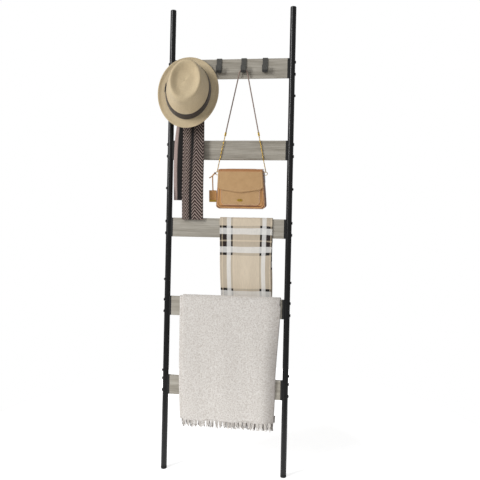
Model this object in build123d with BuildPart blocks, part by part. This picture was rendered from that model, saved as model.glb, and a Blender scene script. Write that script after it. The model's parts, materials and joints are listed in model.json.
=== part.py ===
from build123d import *
import math
import os

# A leaning ladder rack for blankets, dressed with what hangs on it. Millimetres, +Z up.
# Someone facing the rack looks along +Y and has +X to the right. The origin is on the floor,
# midway between the feet, where the rail axes meet the floor. The rails lean back towards +Y.

os.makedirs("parts", exist_ok=True)


def save(part, name):
    part.label = name
    export_step(part, f"parts/{name}.step")


# ---------- driving dimensions of the rack ----------
lean = math.radians(8.5)  # angle of the rails from the vertical
rail_spacing = 450  # between the rail axes
rail_top = 1720  # length along a rail, floor to cap
tube_radius = 11
tube_bore = 10
foot_top = 10
cap_height = 4
joint_heights = [348, 690, 1032, 1374]  # where one tube section meets the next
sleeve_radius = 9.8
sleeve_bore = 8.8
sleeve_seat = 25
sleeve_length = 40
rung_heights = [1495, 1194, 906, 612, 316]  # rung 1 is the top one
rung_height = 71
rung_depth = 15
board_end = 208  # half of a board's length
bolt_offset = 22
bolt_hole = 3.2
joint_screw_rise = 20
clearance = 0.5

rail_x = rail_spacing / 2
sin_lean = math.sin(lean)
cos_lean = math.cos(lean)
rail_direction = (0, sin_lean, cos_lean)


def rack_point(behind, along):
    """World (y, z) of a point a distance behind the rail axes and a distance along them."""
    return (along * sin_lean + behind * cos_lean, along * cos_lean - behind * sin_lean)


def rail_plane(along, x=0):
    """Plane square to the rails. Its x is the world's X, its y points to the rear."""
    y, z = rack_point(0, along)
    return Plane(origin=(x, y, z), x_dir=(1, 0, 0), z_dir=rail_direction)


def side_plane(x):
    """Plane seen from the side. Its x is the distance behind the rails, its y the distance along."""
    return Plane(origin=(x, 0, 0), x_dir=(0, cos_lean, -sin_lean), z_dir=(1, 0, 0))


def rail_axis(x):
    return Axis((x, 0, 0), rail_direction)


# ---------- rails: five tube sections a side, each sleeved into the one above ----------
section_ends = [foot_top] + joint_heights + [rail_top - cap_height]
bolt_heights = [height + step for height in rung_heights for step in (-bolt_offset, bolt_offset)]
joint_screw_heights = [height + joint_screw_rise for height in joint_heights]
side_names = {-1: "left", 1: "right"}

for side, side_name in side_names.items():
    x = side * rail_x
    for number in range(5):
        start, end = section_ends[number], section_ends[number + 1]
        top = end
        with BuildPart() as tube:
            with BuildSketch(rail_plane(start, x)):
                Circle(tube_radius)
                Circle(tube_bore, mode=Mode.SUBTRACT)
            extrude(amount=end - start)
            if number < 4:
                top = end + sleeve_length
                with BuildSketch(rail_plane(end - sleeve_seat, x)):
                    Circle(tube_bore)
                    Circle(sleeve_bore, mode=Mode.SUBTRACT)
                extrude(amount=sleeve_seat)
                with BuildSketch(rail_plane(end, x)):
                    Circle(sleeve_radius)
                    Circle(sleeve_bore, mode=Mode.SUBTRACT)
                extrude(amount=sleeve_length)
            with BuildSketch(side_plane(x)):
                with Locations([(0, h) for h in bolt_heights if start < h < end]):
                    Circle(bolt_hole)
            extrude(amount=2 * tube_radius, both=True, mode=Mode.SUBTRACT)
            screw_spots = [(0, h) for h in joint_screw_heights if start < h < top]
            with BuildSketch(side_plane(x)):
                with Locations(screw_spots):
                    Circle(2.7)
            extrude(amount=side * 2 * tube_radius, mode=Mode.SUBTRACT)
        save(tube.part, f"{side_name}_tube_{number + 1}")

# ---------- caps and feet ----------
for side, side_name in side_names.items():
    x = side * rail_x
    seat = rail_top - cap_height
    with BuildPart() as top_cap:
        with BuildSketch(side_plane(x)):
            with BuildLine():
                Polyline((0, rail_top), (0, seat - 15), (9.7, seat - 15), (9.7, seat), (tube_radius, seat),
                         (tube_radius, rail_top), close=True)
            make_face()
        revolve(axis=rail_axis(x))
        rim = top_cap.edges().filter_by(GeomType.CIRCLE).group_by(Axis.Z)[-1]
        fillet(rim, cap_height - 0.5)
    save(top_cap.part, f"{side_name}_top_cap")

    with BuildPart() as foot:
        with BuildSketch(rail_plane(-6, x)):
            Circle(tube_radius)
        extrude(amount=foot_top + 6)
        with BuildSketch(rail_plane(foot_top, x)):
            Circle(9.8)
        extrude(amount=25)
        split(bisect_by=Plane.XY, keep=Keep.TOP)
    save(foot.part, f"{side_name}_foot")

# ---------- rungs: board, the two saddles that fit it to the tubes, inserts and bolts ----------
insert_radius = 4.5
insert_length = 14

for number, height in enumerate(rung_heights, start=1):
    with BuildPart() as rung:
        with BuildSketch(side_plane(0)):
            with Locations((0, height)):
                Rectangle(rung_depth, rung_height)
        extrude(amount=board_end, both=True)
        fillet(rung.edges().filter_by(Axis.X), 1.2)
        for side in side_names:
            with BuildSketch(side_plane(side * board_end)):
                with Locations((0, height - bolt_offset), (0, height + bolt_offset)):
                    Circle(insert_radius + 0.05)
            extrude(amount=-side * (insert_length + 1), mode=Mode.SUBTRACT)
    save(rung.part, f"rung_{number}")

    with BuildPart() as saddles:
        for side in side_names:
            with BuildSketch(side_plane(side * board_end)):
                with Locations((0, height)):
                    Rectangle(rung_depth, rung_height)
                with Locations((0, height - bolt_offset), (0, height + bolt_offset)):
                    Circle(bolt_hole, mode=Mode.SUBTRACT)
            extrude(amount=side * 8.5)
            with BuildSketch(rail_plane(height - rung_height, side * rail_x)):
                Circle(tube_radius + 0.05)
            extrude(amount=2 * rung_height, mode=Mode.SUBTRACT)
    save(saddles.part, f"rung_{number}_saddles")

bolt_spots = [(0, height) for height in bolt_heights]
head_seat = rail_x + tube_radius
insert_mouth = board_end - insert_length

with BuildPart() as rung_inserts:
    for side in side_names:
        with BuildSketch(side_plane(side * insert_mouth)):
            with Locations(bolt_spots):
                Circle(insert_radius)
                Circle(3.05, mode=Mode.SUBTRACT)
        extrude(amount=side * insert_length)
save(rung_inserts.part, "rung_inserts")


def round_head_screws(spots, head_radius, head_height, shank_radius, shank_length, socket_radius):
    """Button-head screws driven inwards from the outer side of each rail, at (behind, along) spots."""
    with BuildPart() as screws:
        for side in side_names:
            with BuildSketch(side_plane(side * head_seat)):
                with Locations(spots):
                    Circle(head_radius)
            extrude(amount=side * head_height)
        crowns = screws.edges().filter_by(lambda e: abs(e.center().X) > head_seat + head_height / 2)
        fillet(crowns, head_height * 0.7)
        for side in side_names:
            with BuildSketch(side_plane(side * head_seat)):
                with Locations(spots):
                    Circle(shank_radius)
            extrude(amount=-side * shank_length)
            with BuildSketch(side_plane(side * (head_seat + head_height))):
                with Locations(spots):
                    RegularPolygon(socket_radius, 6)
            extrude(amount=-side * head_height * 0.6, mode=Mode.SUBTRACT)
    return screws.part


save(round_head_screws(bolt_spots, 5.5, 2.6, 3, 40, 2), "rung_bolts")
save(round_head_screws([(0, h) for h in joint_screw_heights], 4.8, 3.7, 2.5, 12, 1.6), "joint_screws")


# ---------- strips and sheets: one closed outline round a centre line seen from the side ----------
def strip(plane, width, points, radii, thickness):
    """A flat strip whose centre line is drawn on a plane, carried along the plane's normal."""
    with BuildPart() as made:
        with BuildSketch(plane):
            with BuildLine():
                centre_line = FilletPolyline(*points, radius=radii, mode=Mode.PRIVATE)
                offset(centre_line, amount=thickness / 2, mode=Mode.ADD)
            make_face()
        extrude(amount=width)
    return made.part


# ---------- hooks over the top rung ----------
hook_x = {1: -147, 2: -44.6, 3: 47.8, 4: 126.7}
hook_width = 19
hook_steel = 2.5
rung_1_top = rung_heights[0] + rung_height / 2
hook_face = rung_depth / 2 + 0.3 + hook_steel / 2  # centre of the steel, either side of the board
hook_roof = rung_1_top + 0.3 + hook_steel / 2
trough_radius = 8.75  # to the centre of the steel
trough_behind = -hook_face - trough_radius
trough_along = 1488
tongue_behind = -hook_face - 2 * trough_radius
tongue_tip = 1502

for number, x in hook_x.items():
    outline = [
        (hook_face, rung_1_top - 20),
        (hook_face, hook_roof),
        (-hook_face, hook_roof),
        (-hook_face, trough_along - trough_radius),
        (tongue_behind, trough_along - trough_radius),
        (tongue_behind, tongue_tip),
    ]
    radii = [2.5, 2.5, 8.7, 8.7]
    save(strip(side_plane(x - hook_width / 2), hook_width, outline, radii, hook_steel), f"hook_{number}")

trough_y, trough_z = rack_point(trough_behind, trough_along)

# ---------- throw: folded in two down its right side, over rung 4 and in front of rung 5 ----------
throw_thickness = 9
throw_half = throw_thickness / 2
throw_top_left, throw_top_right = -175, 206
throw_hem_left, throw_hem_right = -168, 180
throw_front_hem = 187
throw_rear_hem = 181
fringe_length = 32
cut_depth = 300  # how far each sloping outline is carried to trim a cloth
cut_margin = 20  # beyond the cloth's top and hem

rung_4_top = rung_heights[3] + rung_height / 2
rung_5_bottom = rung_heights[4] - rung_height / 2
face_behind = -rung_depth / 2 - clearance - throw_half
throw_rear_y = rack_point(rung_depth / 2, rung_4_top)[0] + clearance + throw_half
throw_top_along = rung_4_top + clearance + throw_half
throw_top_front = rack_point(face_behind, throw_top_along)
throw_low_y = rack_point(-rung_depth / 2 - clearance, rung_5_bottom)[0] - throw_half
bend_along = (throw_low_y - face_behind * cos_lean) / sin_lean
throw_bend = rack_point(face_behind, bend_along)
throw_top_z = throw_top_front[1]

throw_outline = [
    (throw_rear_y, throw_rear_hem + throw_half),
    (throw_rear_y, throw_top_z - 1.5),
    throw_top_front,
    throw_bend,
    (throw_low_y, throw_front_hem + throw_half),
]
throw_width_plane = Plane.YZ.offset(throw_top_left)
throw_block = strip(throw_width_plane, throw_top_right - throw_top_left, throw_outline,
                    [7, 7, 60], throw_thickness)
with BuildPart() as throw:
    add(throw_block)
    with BuildSketch(Plane.XZ):
        with BuildLine():
            Polyline((throw_top_left, throw_top_z + cut_margin), (throw_top_right, throw_top_z + cut_margin),
                     (throw_hem_right, throw_rear_hem - cut_margin),
                     (throw_hem_left, throw_rear_hem - cut_margin), close=True)
        make_face()
    extrude(amount=cut_depth, both=True, mode=Mode.INTERSECT)
save(throw.part, "throw")

with BuildPart() as throw_fringe:
    for y, hem in ((throw_low_y, throw_front_hem), (throw_rear_y, throw_rear_hem)):
        with BuildSketch(Plane.XY.offset(hem - fringe_length)):
            with Locations(((throw_hem_left + throw_hem_right) / 2, y)):
                Rectangle(throw_hem_right - throw_hem_left - 4, 5)
        extrude(amount=fringe_length)
save(throw_fringe.part, "throw_fringe")

# ---------- plaid scarf: folded lengthwise, over rung 3 ----------
plaid_thickness = 5
plaid_half = plaid_thickness / 2
plaid_left, plaid_right = -28, 165
plaid_hem = 602
rung_3_top = rung_heights[2] + rung_height / 2
rung_3_bottom = rung_heights[2] - rung_height / 2
plaid_behind = -rung_depth / 2 - clearance - plaid_half
plaid_rear_y = rack_point(rung_depth / 2, rung_3_top)[0] + clearance + plaid_half
plaid_top_front = rack_point(plaid_behind, rung_3_top + clearance + plaid_half)
plaid_low_y = rack_point(-rung_depth / 2 - clearance, rung_3_bottom)[0] - plaid_half
plaid_bend = rack_point(plaid_behind, (plaid_low_y - plaid_behind * cos_lean) / sin_lean)
plaid_outline = [
    (plaid_rear_y, plaid_hem + plaid_half),
    (plaid_rear_y, plaid_top_front[1] - 1),
    plaid_top_front,
    plaid_bend,
    (plaid_low_y, plaid_hem + plaid_half),
]
plaid = strip(Plane.YZ.offset(plaid_left), plaid_right - plaid_left, plaid_outline,
              [4, 4, 40], plaid_thickness)
save(plaid, "plaid_scarf")

# ---------- herringbone scarf: bunched through hook 1, one leg in front of the other ----------
rung_2_top = rung_heights[1] + rung_height / 2
rung_2_bottom = rung_heights[1] - rung_height / 2
front_leg_thickness = 13
rear_leg_thickness = 8
rear_leg_left, rear_leg_right = -213, -150
front_leg_left, front_leg_right = -176, -97
leg_join_z = 1452
rear_gap = clearance + rear_leg_thickness / 2
front_gap = clearance + rear_leg_thickness + clearance + front_leg_thickness / 2


def in_front_of_rung(along, gap):
    """World (y, z) a gap in front of a rung's front face."""
    y, z = rack_point(-rung_depth / 2, along)
    return (y - gap, z)


rear_leg_low_y = in_front_of_rung(rung_2_bottom, rear_gap)[0]
rear_leg_outline = [
    (trough_y - 2, leg_join_z),
    in_front_of_rung(rung_2_top, rear_gap),
    in_front_of_rung(rung_2_bottom, rear_gap),
    (rear_leg_low_y, 999),
]
front_leg_outline = [
    (trough_y - 4, leg_join_z),
    in_front_of_rung(rung_2_top, front_gap),
    in_front_of_rung(rung_3_top, clearance + front_leg_thickness / 2),
    (in_front_of_rung(rung_3_top, clearance + front_leg_thickness / 2)[0] - 1, 926),
]
rear_leg = strip(Plane.YZ.offset(rear_leg_left), rear_leg_right - rear_leg_left, rear_leg_outline,
                 [60, 60], rear_leg_thickness)
front_leg = strip(Plane.YZ.offset(front_leg_left), front_leg_right - front_leg_left, front_leg_outline,
                  [60, 60], front_leg_thickness)
bunch_half = 22  # half the length of the bunch that lies across the hook
bunch_radius = 6
fold_side, fold_size = 17, (10, 12)  # the gathered folds on both sides of the hook
with BuildPart() as rear_fold:
    add(rear_leg)
    with BuildSketch(Plane.XZ):
        with BuildLine():
            Polyline((-215, 980), (-150, 980), (-150, 1470), (hook_x[1] - bunch_half, 1470), (-192, 1262),
                     close=True)
        make_face()
    extrude(amount=cut_depth, both=True, mode=Mode.INTERSECT)
with BuildPart() as front_fold:
    add(front_leg)
    with BuildSketch(Plane.XZ):
        with BuildLine():
            Polyline((-176, 910), (-97, 910), (-98, 1290), (hook_x[1] + bunch_half, 1470),
                     (hook_x[1] - bunch_half, 1470), (-176, 1290), close=True)
        make_face()
    extrude(amount=cut_depth, both=True, mode=Mode.INTERSECT)
with BuildPart() as herringbone_scarf:
    add(rear_fold.part)
    add(front_fold.part)
    with BuildSketch(Plane.YZ.offset(hook_x[1] - bunch_half)):
        with Locations((trough_y, trough_z + 1)):
            Circle(bunch_radius)
    extrude(amount=2 * bunch_half)
    with BuildSketch(Plane.XY.offset(leg_join_z - 10)):
        with Locations((hook_x[1] - fold_side, trough_y - 2), (hook_x[1] + fold_side, trough_y - 2)):
            Rectangle(*fold_size)
    extrude(amount=trough_z - leg_join_z + 10)
save(herringbone_scarf.part, "herringbone_scarf")

# ---------- hat: hangs by its head opening on the tongue of hook 1 ----------
hat_rise = math.radians(19)  # the crown's axis above the horizontal
hat_turn = math.radians(7.5)  # and turned towards +X
hat_tilt = math.radians(6)
crown_base = (83.5, 107.5)  # half width, half length
brim_half = (112, 140)
brim_thickness = 2.5
crown_levels = [(0, 1.0, 1.0), (60, 0.86, 0.87), (100, 0.74, 0.74), (114, 0.66, 0.67), (120, 0.5, 0.54)]
felt = 2.2

crown_axis = Vector(math.sin(hat_turn) * math.cos(hat_rise), -math.cos(hat_turn) * math.cos(hat_rise),
                    math.sin(hat_rise))
level_x = Vector(math.cos(hat_turn), math.sin(hat_turn), 0)
level_y = crown_axis.cross(level_x)
hat_x_dir = level_x * math.cos(hat_tilt) - level_y * math.sin(hat_tilt)
hat_y_dir = level_y * math.cos(hat_tilt) + level_x * math.sin(hat_tilt)
tongue_y, tongue_z = rack_point(tongue_behind, tongue_tip)
hang_depth = 5  # how far the tongue reaches into the crown
hang_height = 98.8  # from the hat's middle up to the tongue, just under the sweatband
hat_shift = 1.5  # the tongue stands this far to one side of the hat's middle
hat_centre = Vector(hook_x[1], tongue_y, tongue_z) - crown_axis * hang_depth - hat_y_dir * hang_height
hat_centre = hat_centre + hat_x_dir * hat_shift


def hat_plane(height):
    return Plane(origin=hat_centre + crown_axis * height, x_dir=hat_x_dir, z_dir=crown_axis)


def crown_half(height):
    """Outer half width and half length of the crown at a height, from the levels."""
    for (low, low_x, low_y), (high, high_x, high_y) in zip(crown_levels, crown_levels[1:]):
        if height <= high:
            part = (height - low) / (high - low)
            across = crown_base[0] * (low_x + (high_x - low_x) * part)
            return (across, crown_base[1] * (low_y + (high_y - low_y) * part))


def crown_solid(inset, low, high):
    """The crown between two heights, a distance in from its outer face."""
    heights = [low] + [level[0] for level in crown_levels if low < level[0] < high] + [high]
    with BuildPart() as crown:
        for height in heights:
            across, length = crown_half(height)
            with BuildSketch(hat_plane(height)):
                Ellipse(across - inset, length - inset)
        loft(ruled=True)
    return crown.part


with BuildPart() as hat_body:
    with BuildSketch(hat_plane(-brim_thickness / 2)):
        Ellipse(*brim_half)
    extrude(amount=brim_thickness)
    add(crown_solid(0, 0, 120))
    with BuildSketch(hat_plane(-brim_thickness)):
        Ellipse(crown_base[0] - felt, crown_base[1] - felt)
    extrude(amount=brim_thickness * 1.5, mode=Mode.SUBTRACT)
    add(crown_solid(felt, 0, 117.5), mode=Mode.SUBTRACT)
save(hat_body.part, "hat_body")

band_low, band_high = 2, 30
band_outside, band_inside = -1.1, -0.1  # insets of the ribbon's faces from the crown
with BuildPart() as hat_band:
    add(crown_solid(band_outside, band_low, band_high))
    add(crown_solid(band_inside, band_low, band_high), mode=Mode.SUBTRACT)
save(hat_band.part, "hat_band")

with BuildPart() as hat_sweatband:
    add(crown_solid(felt + 0.1, 1, 32))
    add(crown_solid(felt + 1.3, 1, 32), mode=Mode.SUBTRACT)
save(hat_sweatband.part, "hat_sweatband")

bow_side = -1  # the flat bow sits on the left of the crown
bow_size = (34, 21)
bow_thickness = 2
bow_middle = (band_low + band_high) / 2
with BuildPart() as hat_bow:
    slope = math.atan((crown_half(0)[0] - crown_half(band_high)[0]) / band_high)
    bow_normal = hat_x_dir * bow_side * math.cos(slope) + crown_axis * math.sin(slope)
    bow_root = hat_centre + crown_axis * bow_middle + hat_x_dir * bow_side * crown_half(bow_middle)[0]
    bow_plane = Plane(origin=bow_root + bow_normal * 1.3, x_dir=hat_y_dir, z_dir=bow_normal)
    with BuildSketch(bow_plane) as bow_outline:
        Rectangle(*bow_size)
        fillet(bow_outline.vertices(), 2)
    extrude(amount=bow_thickness)
save(hat_bow.part, "hat_bow")

# ---------- shoulder bag on hook 3: chain and strap rest on the lower edge of rung 2 ----------
bag_x = 46.5
bag_y = 160
bag_base = 970
bag_depth = 50
bag_wall = 2.2
bag_height = 138
bag_half_base, bag_half_top = 90, 81
bag_front = bag_y - bag_depth / 2
bag_rear = bag_y + bag_depth / 2
pocket_thickness = 2
flap_thickness = 2.4
flap_gap = 0.4
magnet_height = 78
magnet_radius = 6
flap_magnet_depth = 1.2


def bag_plane(y):
    """Plane seen from the front at y. Its x runs from the bag's middle, its y up from the base."""
    return Plane(origin=(bag_x, y, bag_base), x_dir=(1, 0, 0), z_dir=(0, -1, 0))


def bag_outline(inset, top):
    """Front outline: a little wider at the base, with the lower corners rounded."""
    with BuildSketch() as outline:
        with BuildLine():
            half_base, half_top = bag_half_base - inset, bag_half_top - inset
            Polyline((-half_base, inset), (half_base, inset), (half_top, top), (-half_top, top), close=True)
        make_face()
        fillet(outline.vertices().group_by(Axis.Y)[0], 14 - inset)
    return outline.sketch


with BuildPart() as bag_body:
    with BuildSketch(bag_plane(bag_rear)):
        add(bag_outline(0, bag_height))
    extrude(amount=bag_depth)
    with BuildSketch(bag_plane(bag_rear - bag_wall)):
        add(bag_outline(bag_wall, bag_height + 5))
    extrude(amount=bag_depth - 2 * bag_wall, mode=Mode.SUBTRACT)
save(bag_body.part, "bag_body")

with BuildPart() as bag_divider:
    with BuildSketch(bag_plane(bag_y)):
        add(bag_outline(bag_wall + 0.3, bag_height - 22))
    extrude(amount=1)
save(bag_divider.part, "bag_divider")

with BuildPart() as bag_pocket:
    with BuildSketch(bag_plane(bag_front)) as pocket_outline:
        with Locations((0, 50)):
            Rectangle(144, 76)
        fillet(pocket_outline.vertices().group_by(Axis.Y)[0], 14)
    extrude(amount=pocket_thickness)
    with BuildSketch(bag_plane(bag_front)):
        with Locations((0, magnet_height)):
            Circle(magnet_radius + 0.1)
    extrude(amount=pocket_thickness, mode=Mode.SUBTRACT)
save(bag_pocket.part, "bag_pocket")

with BuildPart() as bag_clasp_plate:
    with BuildSketch(bag_plane(bag_front - pocket_thickness)):
        with Locations((-2.5, 30)):
            Ellipse(10.5, 4.8)
    extrude(amount=1.6)
    fillet(bag_clasp_plate.edges().group_by(Axis.Y)[0], 0.7)
save(bag_clasp_plate.part, "bag_clasp_plate")

flap_front = bag_front - pocket_thickness - flap_gap - flap_thickness / 2
flap_back = bag_front - pocket_thickness - flap_gap
flap_top = bag_base + bag_height + flap_gap + flap_thickness / 2
flap_sheet = strip(Plane.YZ.offset(bag_x - bag_half_base), 2 * bag_half_base,
                   [(bag_rear, flap_top), (flap_front, flap_top), (flap_front, bag_base + 40)], [4],
                   flap_thickness)
with BuildPart() as bag_flap:
    add(flap_sheet)
    with BuildSketch(bag_plane(bag_y)):
        with BuildLine():
            Polyline((-81, 146), (81, 146), (84, 79), (70, 70), (0, 60), (-70, 70), (-84, 79), close=True)
        make_face()
    extrude(amount=60, both=True, mode=Mode.INTERSECT)
    with BuildSketch(bag_plane(flap_back)):
        with Locations((0, magnet_height)):
            Circle(magnet_radius + 0.1)
    extrude(amount=flap_magnet_depth, mode=Mode.SUBTRACT)
save(bag_flap.part, "bag_flap")


with BuildPart() as bag_magnet_base:
    with BuildSketch(bag_plane(bag_front)):
        with Locations((0, magnet_height)):
            Circle(magnet_radius)
    extrude(amount=pocket_thickness)
save(bag_magnet_base.part, "bag_magnet_base")

with BuildPart() as bag_magnet_flap:
    with BuildSketch(bag_plane(flap_back)):
        with Locations((0, magnet_height)):
            Circle(magnet_radius)
    extrude(amount=flap_magnet_depth)
save(bag_magnet_flap.part, "bag_magnet_flap")

# side tabs, each holding a ring, on the gussets
tab_height = 36
tab_top = 130
tab_thickness = 5
ring_radius = 6
ring_wire = 1.1
ring_z = bag_base + tab_top - 3
side_lean = (bag_half_base - bag_half_top) / bag_height  # the gussets lean in towards the top


def gusset_x(height):
    """Half width of the bag at a height above its base."""
    return bag_half_base - side_lean * height


ring_x = gusset_x(tab_top) + tab_thickness - 2 * ring_wire + ring_radius


def ring_plane(side):
    return Plane(origin=(bag_x + side * ring_x, bag_y, ring_z), z_dir=(0, 1, 0))


with BuildPart() as bag_side_tabs:
    for side in side_names:
        low = gusset_x(tab_top - tab_height)
        high = gusset_x(tab_top)
        with BuildSketch(bag_plane(bag_y + 6)):
            with BuildLine():
                Polyline((side * low, tab_top - tab_height), (side * high, tab_top),
                         (side * (high + tab_thickness), tab_top),
                         (side * (low + tab_thickness), tab_top - tab_height), close=True)
            make_face()
        extrude(amount=12)
        with Locations(ring_plane(side)):
            Torus(ring_radius, ring_wire + 0.2, mode=Mode.SUBTRACT)
save(bag_side_tabs.part, "bag_side_tabs")

with BuildPart() as bag_rings:
    for side in side_names:
        with Locations(ring_plane(side)):
            Torus(ring_radius, ring_wire)
save(bag_rings.part, "bag_rings")

# The strap and chain: from each ring straight up to the lower edge of rung 2, then to the hook.
strap_width = 4.5
chain_width = 5
crossing_half = 12.5  # half of the strap's run across the trough
buckle_length = 13
chain_rest = (bag_y, rack_point(0, rung_2_bottom)[1] - 6)  # world (y, z) just under the rung's edge
strap_rise = trough_z - chain_rest[1]
ring_top_z = ring_z + ring_radius + ring_wire + 0.6
buckle_z = 1240


def leg_point(side, z):
    """Point of one leg of the strap and chain at a height."""
    top_x = hook_x[3] + side * crossing_half
    foot_x = bag_x + side * ring_x
    part = (trough_z - z) / (trough_z - ring_top_z)
    x = top_x + (foot_x - top_x) * part
    if z <= chain_rest[1]:
        return (x, chain_rest[0], z)
    return (x, chain_rest[0] + (trough_y - chain_rest[0]) * (z - chain_rest[1]) / strap_rise, z)


for side, side_name in side_names.items():
    with BuildPart() as bag_chain:
        with BuildLine() as chain_line:
            FilletPolyline(leg_point(side, ring_top_z), leg_point(side, chain_rest[1]),
                           leg_point(side, buckle_z - buckle_length / 2), radius=60)
        with BuildSketch(Plane(origin=chain_line.line @ 0, z_dir=chain_line.line % 0)):
            Circle(chain_width / 2)
        sweep()
    save(bag_chain.part, f"bag_chain_{side_name}")

with BuildPart() as bag_strap_buckles:
    for side in side_names:
        low = Vector(*leg_point(side, buckle_z - buckle_length / 2))
        high = Vector(*leg_point(side, buckle_z + buckle_length / 2))
        with BuildSketch(Plane(origin=low, x_dir=(1, 0, 0), z_dir=high - low)):
            RectangleRounded(7, 5, 1.5)
        extrude(amount=(high - low).length)
save(bag_strap_buckles.part, "bag_strap_buckles")

strap_route = [
    leg_point(-1, buckle_z + buckle_length / 2),
    leg_point(-1, trough_z),
    leg_point(1, trough_z),
    leg_point(1, buckle_z + buckle_length / 2),
]


def corner_radii(route):
    """At each corner, 0.45 of the shorter run over the tangent of half the turn."""
    runs = [Vector(*b) - Vector(*a) for a, b in zip(route, route[1:])]
    radii = []
    for before, after in zip(runs, runs[1:]):
        half_turn = math.radians(before.get_angle(after)) / 2
        radii.append(0.45 * min(before.length, after.length) / math.tan(half_turn))
    return radii


strap_radii = corner_radii(strap_route)
print("strap radii", [round(radius, 1) for radius in strap_radii])
with BuildPart() as bag_strap:
    with BuildLine() as strap_line:
        FilletPolyline(*strap_route, radius=strap_radii)
    with BuildSketch(Plane(origin=strap_line.line @ 0, z_dir=strap_line.line % 0)):
        Circle(strap_width / 2)
    sweep()
strap_length = sum(edge.length for edge in strap_line.edges())
print("strap length", round(strap_length, 1), "volume ratio",
      round(bag_strap.part.volume / (strap_length * math.pi * (strap_width / 2) ** 2), 4))
save(bag_strap.part, "bag_strap")

# leather tag, hanging from the left ring
tag_x = -60.5
tag_top = 1034
tag_size = (29, 44)
tag_thickness = 2.6
knot_radius = 3.4  # the strap's knot, round the axis that the tag swings on
knot_length = 5
tag_strap_width = 5
tag_strap_thickness = 3
tag_behind = 1.6  # the tag's rear face in front of the strap's middle
trim_height = 7
trim_rise = 4.5  # of the trim's middle over the tag's lower edge
tag_anchor = (bag_x - ring_x - ring_radius - ring_wire - 2.8, ring_z)
with BuildPart() as bag_tag_strap:
    with BuildSketch(Plane.XZ.offset(-(bag_y + tag_strap_thickness / 2))):
        with BuildLine():
            drop = FilletPolyline(tag_anchor, (tag_anchor[0] - 9, ring_z - 6), (tag_x - 1, 1070),
                                  (tag_x, tag_top - 4), radius=8, mode=Mode.PRIVATE)
            offset(drop, amount=tag_strap_width / 2, mode=Mode.ADD)
        make_face()
    extrude(amount=tag_strap_thickness)
    with BuildSketch(Plane.YZ.offset(tag_anchor[0] - knot_length / 2)):
        with Locations((bag_y, ring_z)):
            Circle(knot_radius)
    extrude(amount=knot_length)
save(bag_tag_strap.part, "bag_tag_strap")

tag_centre = (tag_x, tag_top - tag_size[1] / 2)
with BuildPart() as bag_tag:
    with BuildSketch(Plane.XZ.offset(-(bag_y - tag_behind))):
        with Locations(tag_centre):
            RectangleRounded(*tag_size, 2)
    extrude(amount=tag_thickness)
save(bag_tag.part, "bag_tag")

with BuildPart() as bag_tag_trim:
    with BuildSketch(Plane.XZ.offset(-(bag_y - tag_behind - tag_thickness))):
        with Locations((tag_x, tag_top - tag_size[1] + trim_rise)):
            RectangleRounded(tag_size[0] - 1, trim_height, 1)
    extrude(amount=1)
save(bag_tag_trim.part, "bag_tag_trim")
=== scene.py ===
import json
import math

import bpy
import numpy as np
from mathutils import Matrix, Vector


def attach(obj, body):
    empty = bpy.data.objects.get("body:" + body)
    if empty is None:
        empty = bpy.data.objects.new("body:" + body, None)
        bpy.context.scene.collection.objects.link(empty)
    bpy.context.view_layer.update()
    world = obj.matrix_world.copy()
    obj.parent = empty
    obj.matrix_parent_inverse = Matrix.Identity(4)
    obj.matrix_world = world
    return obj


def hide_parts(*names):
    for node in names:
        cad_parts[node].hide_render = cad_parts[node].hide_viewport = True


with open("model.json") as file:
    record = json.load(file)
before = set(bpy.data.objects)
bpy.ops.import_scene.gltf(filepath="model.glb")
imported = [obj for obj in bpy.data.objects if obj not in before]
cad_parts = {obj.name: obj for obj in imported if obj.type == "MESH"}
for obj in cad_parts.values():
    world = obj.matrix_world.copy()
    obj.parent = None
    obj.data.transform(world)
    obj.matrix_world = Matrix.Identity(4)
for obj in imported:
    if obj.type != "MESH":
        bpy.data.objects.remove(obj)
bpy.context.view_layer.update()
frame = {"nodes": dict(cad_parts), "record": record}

# A leaning ladder rack with a throw, two scarves, a hat and a shoulder bag. Metres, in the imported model's frame.

nodes = frame["nodes"]
scene = bpy.context.scene
lean = math.radians(8.5)  # of the rails, from the vertical
tau = 2 * math.pi


def rackPoint(behind, along):
    # y = along sin lean + behind cos lean, z = along cos lean - behind sin lean
    return (along * math.sin(lean) + behind * math.cos(lean), along * math.cos(lean) - behind * math.sin(lean))


def nearRung(number, rise, gap):
    # a point at a gap in front of a rung's face, at a rise from the rung's middle
    return rackPoint(-rack["rungDepth"] / 2 - gap, rack["rungHeights"][number - 1] + rise)


rack = {
    "rungHeights": [1.495, 1.194, 0.906, 0.612, 0.316],
    "rungHalf": 0.0355,
    "rungDepth": 0.015,
    "trough": (0.2023, 1.4743),  # y and z of the middle of the hooks' troughs
}

# ---- camera, light and floor ----
view = {"place": (0.3947, -2.2084, 1.2088), "turn": (81.44, 0, 8.49), "lens": 48.41}
camera = bpy.data.objects.new("camera", bpy.data.cameras.new("camera"))
camera.location = view["place"]
camera.rotation_euler = [math.radians(angle) for angle in view["turn"]]
camera.data.lens = view["lens"]
scene.collection.objects.link(camera)
scene.camera = camera

lightPlan = {
    "skyGlow": 0.37,
    "lamps": [  # name, place, aim, width, height, watts
        ("leftSoftbox", (-2.5, -1.9, 2.7), (0, 0.1, 0.95), 1.0, 2.2, 84),
        ("frontFill", (1.2, -3.4, 2.4), (0, 0.1, 0.8), 2.0, 2.0, 4),
        ("rearFill", (0.6, 3.2, 2.2), (0, 0.1, 0.9), 2.0, 2.0, 20),
    ],
}


def addLamp(name, place, aim, width, height, watts):
    lamp = bpy.data.objects.new(name, bpy.data.lights.new(name, "AREA"))
    lamp.data.shape = "RECTANGLE"
    lamp.data.size, lamp.data.size_y, lamp.data.energy = width, height, watts
    lamp.location = place
    lamp.rotation_euler = (Vector(aim) - Vector(place)).to_track_quat("-Z", "Y").to_euler()
    lamp.visible_camera = False
    scene.collection.objects.link(lamp)


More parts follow.
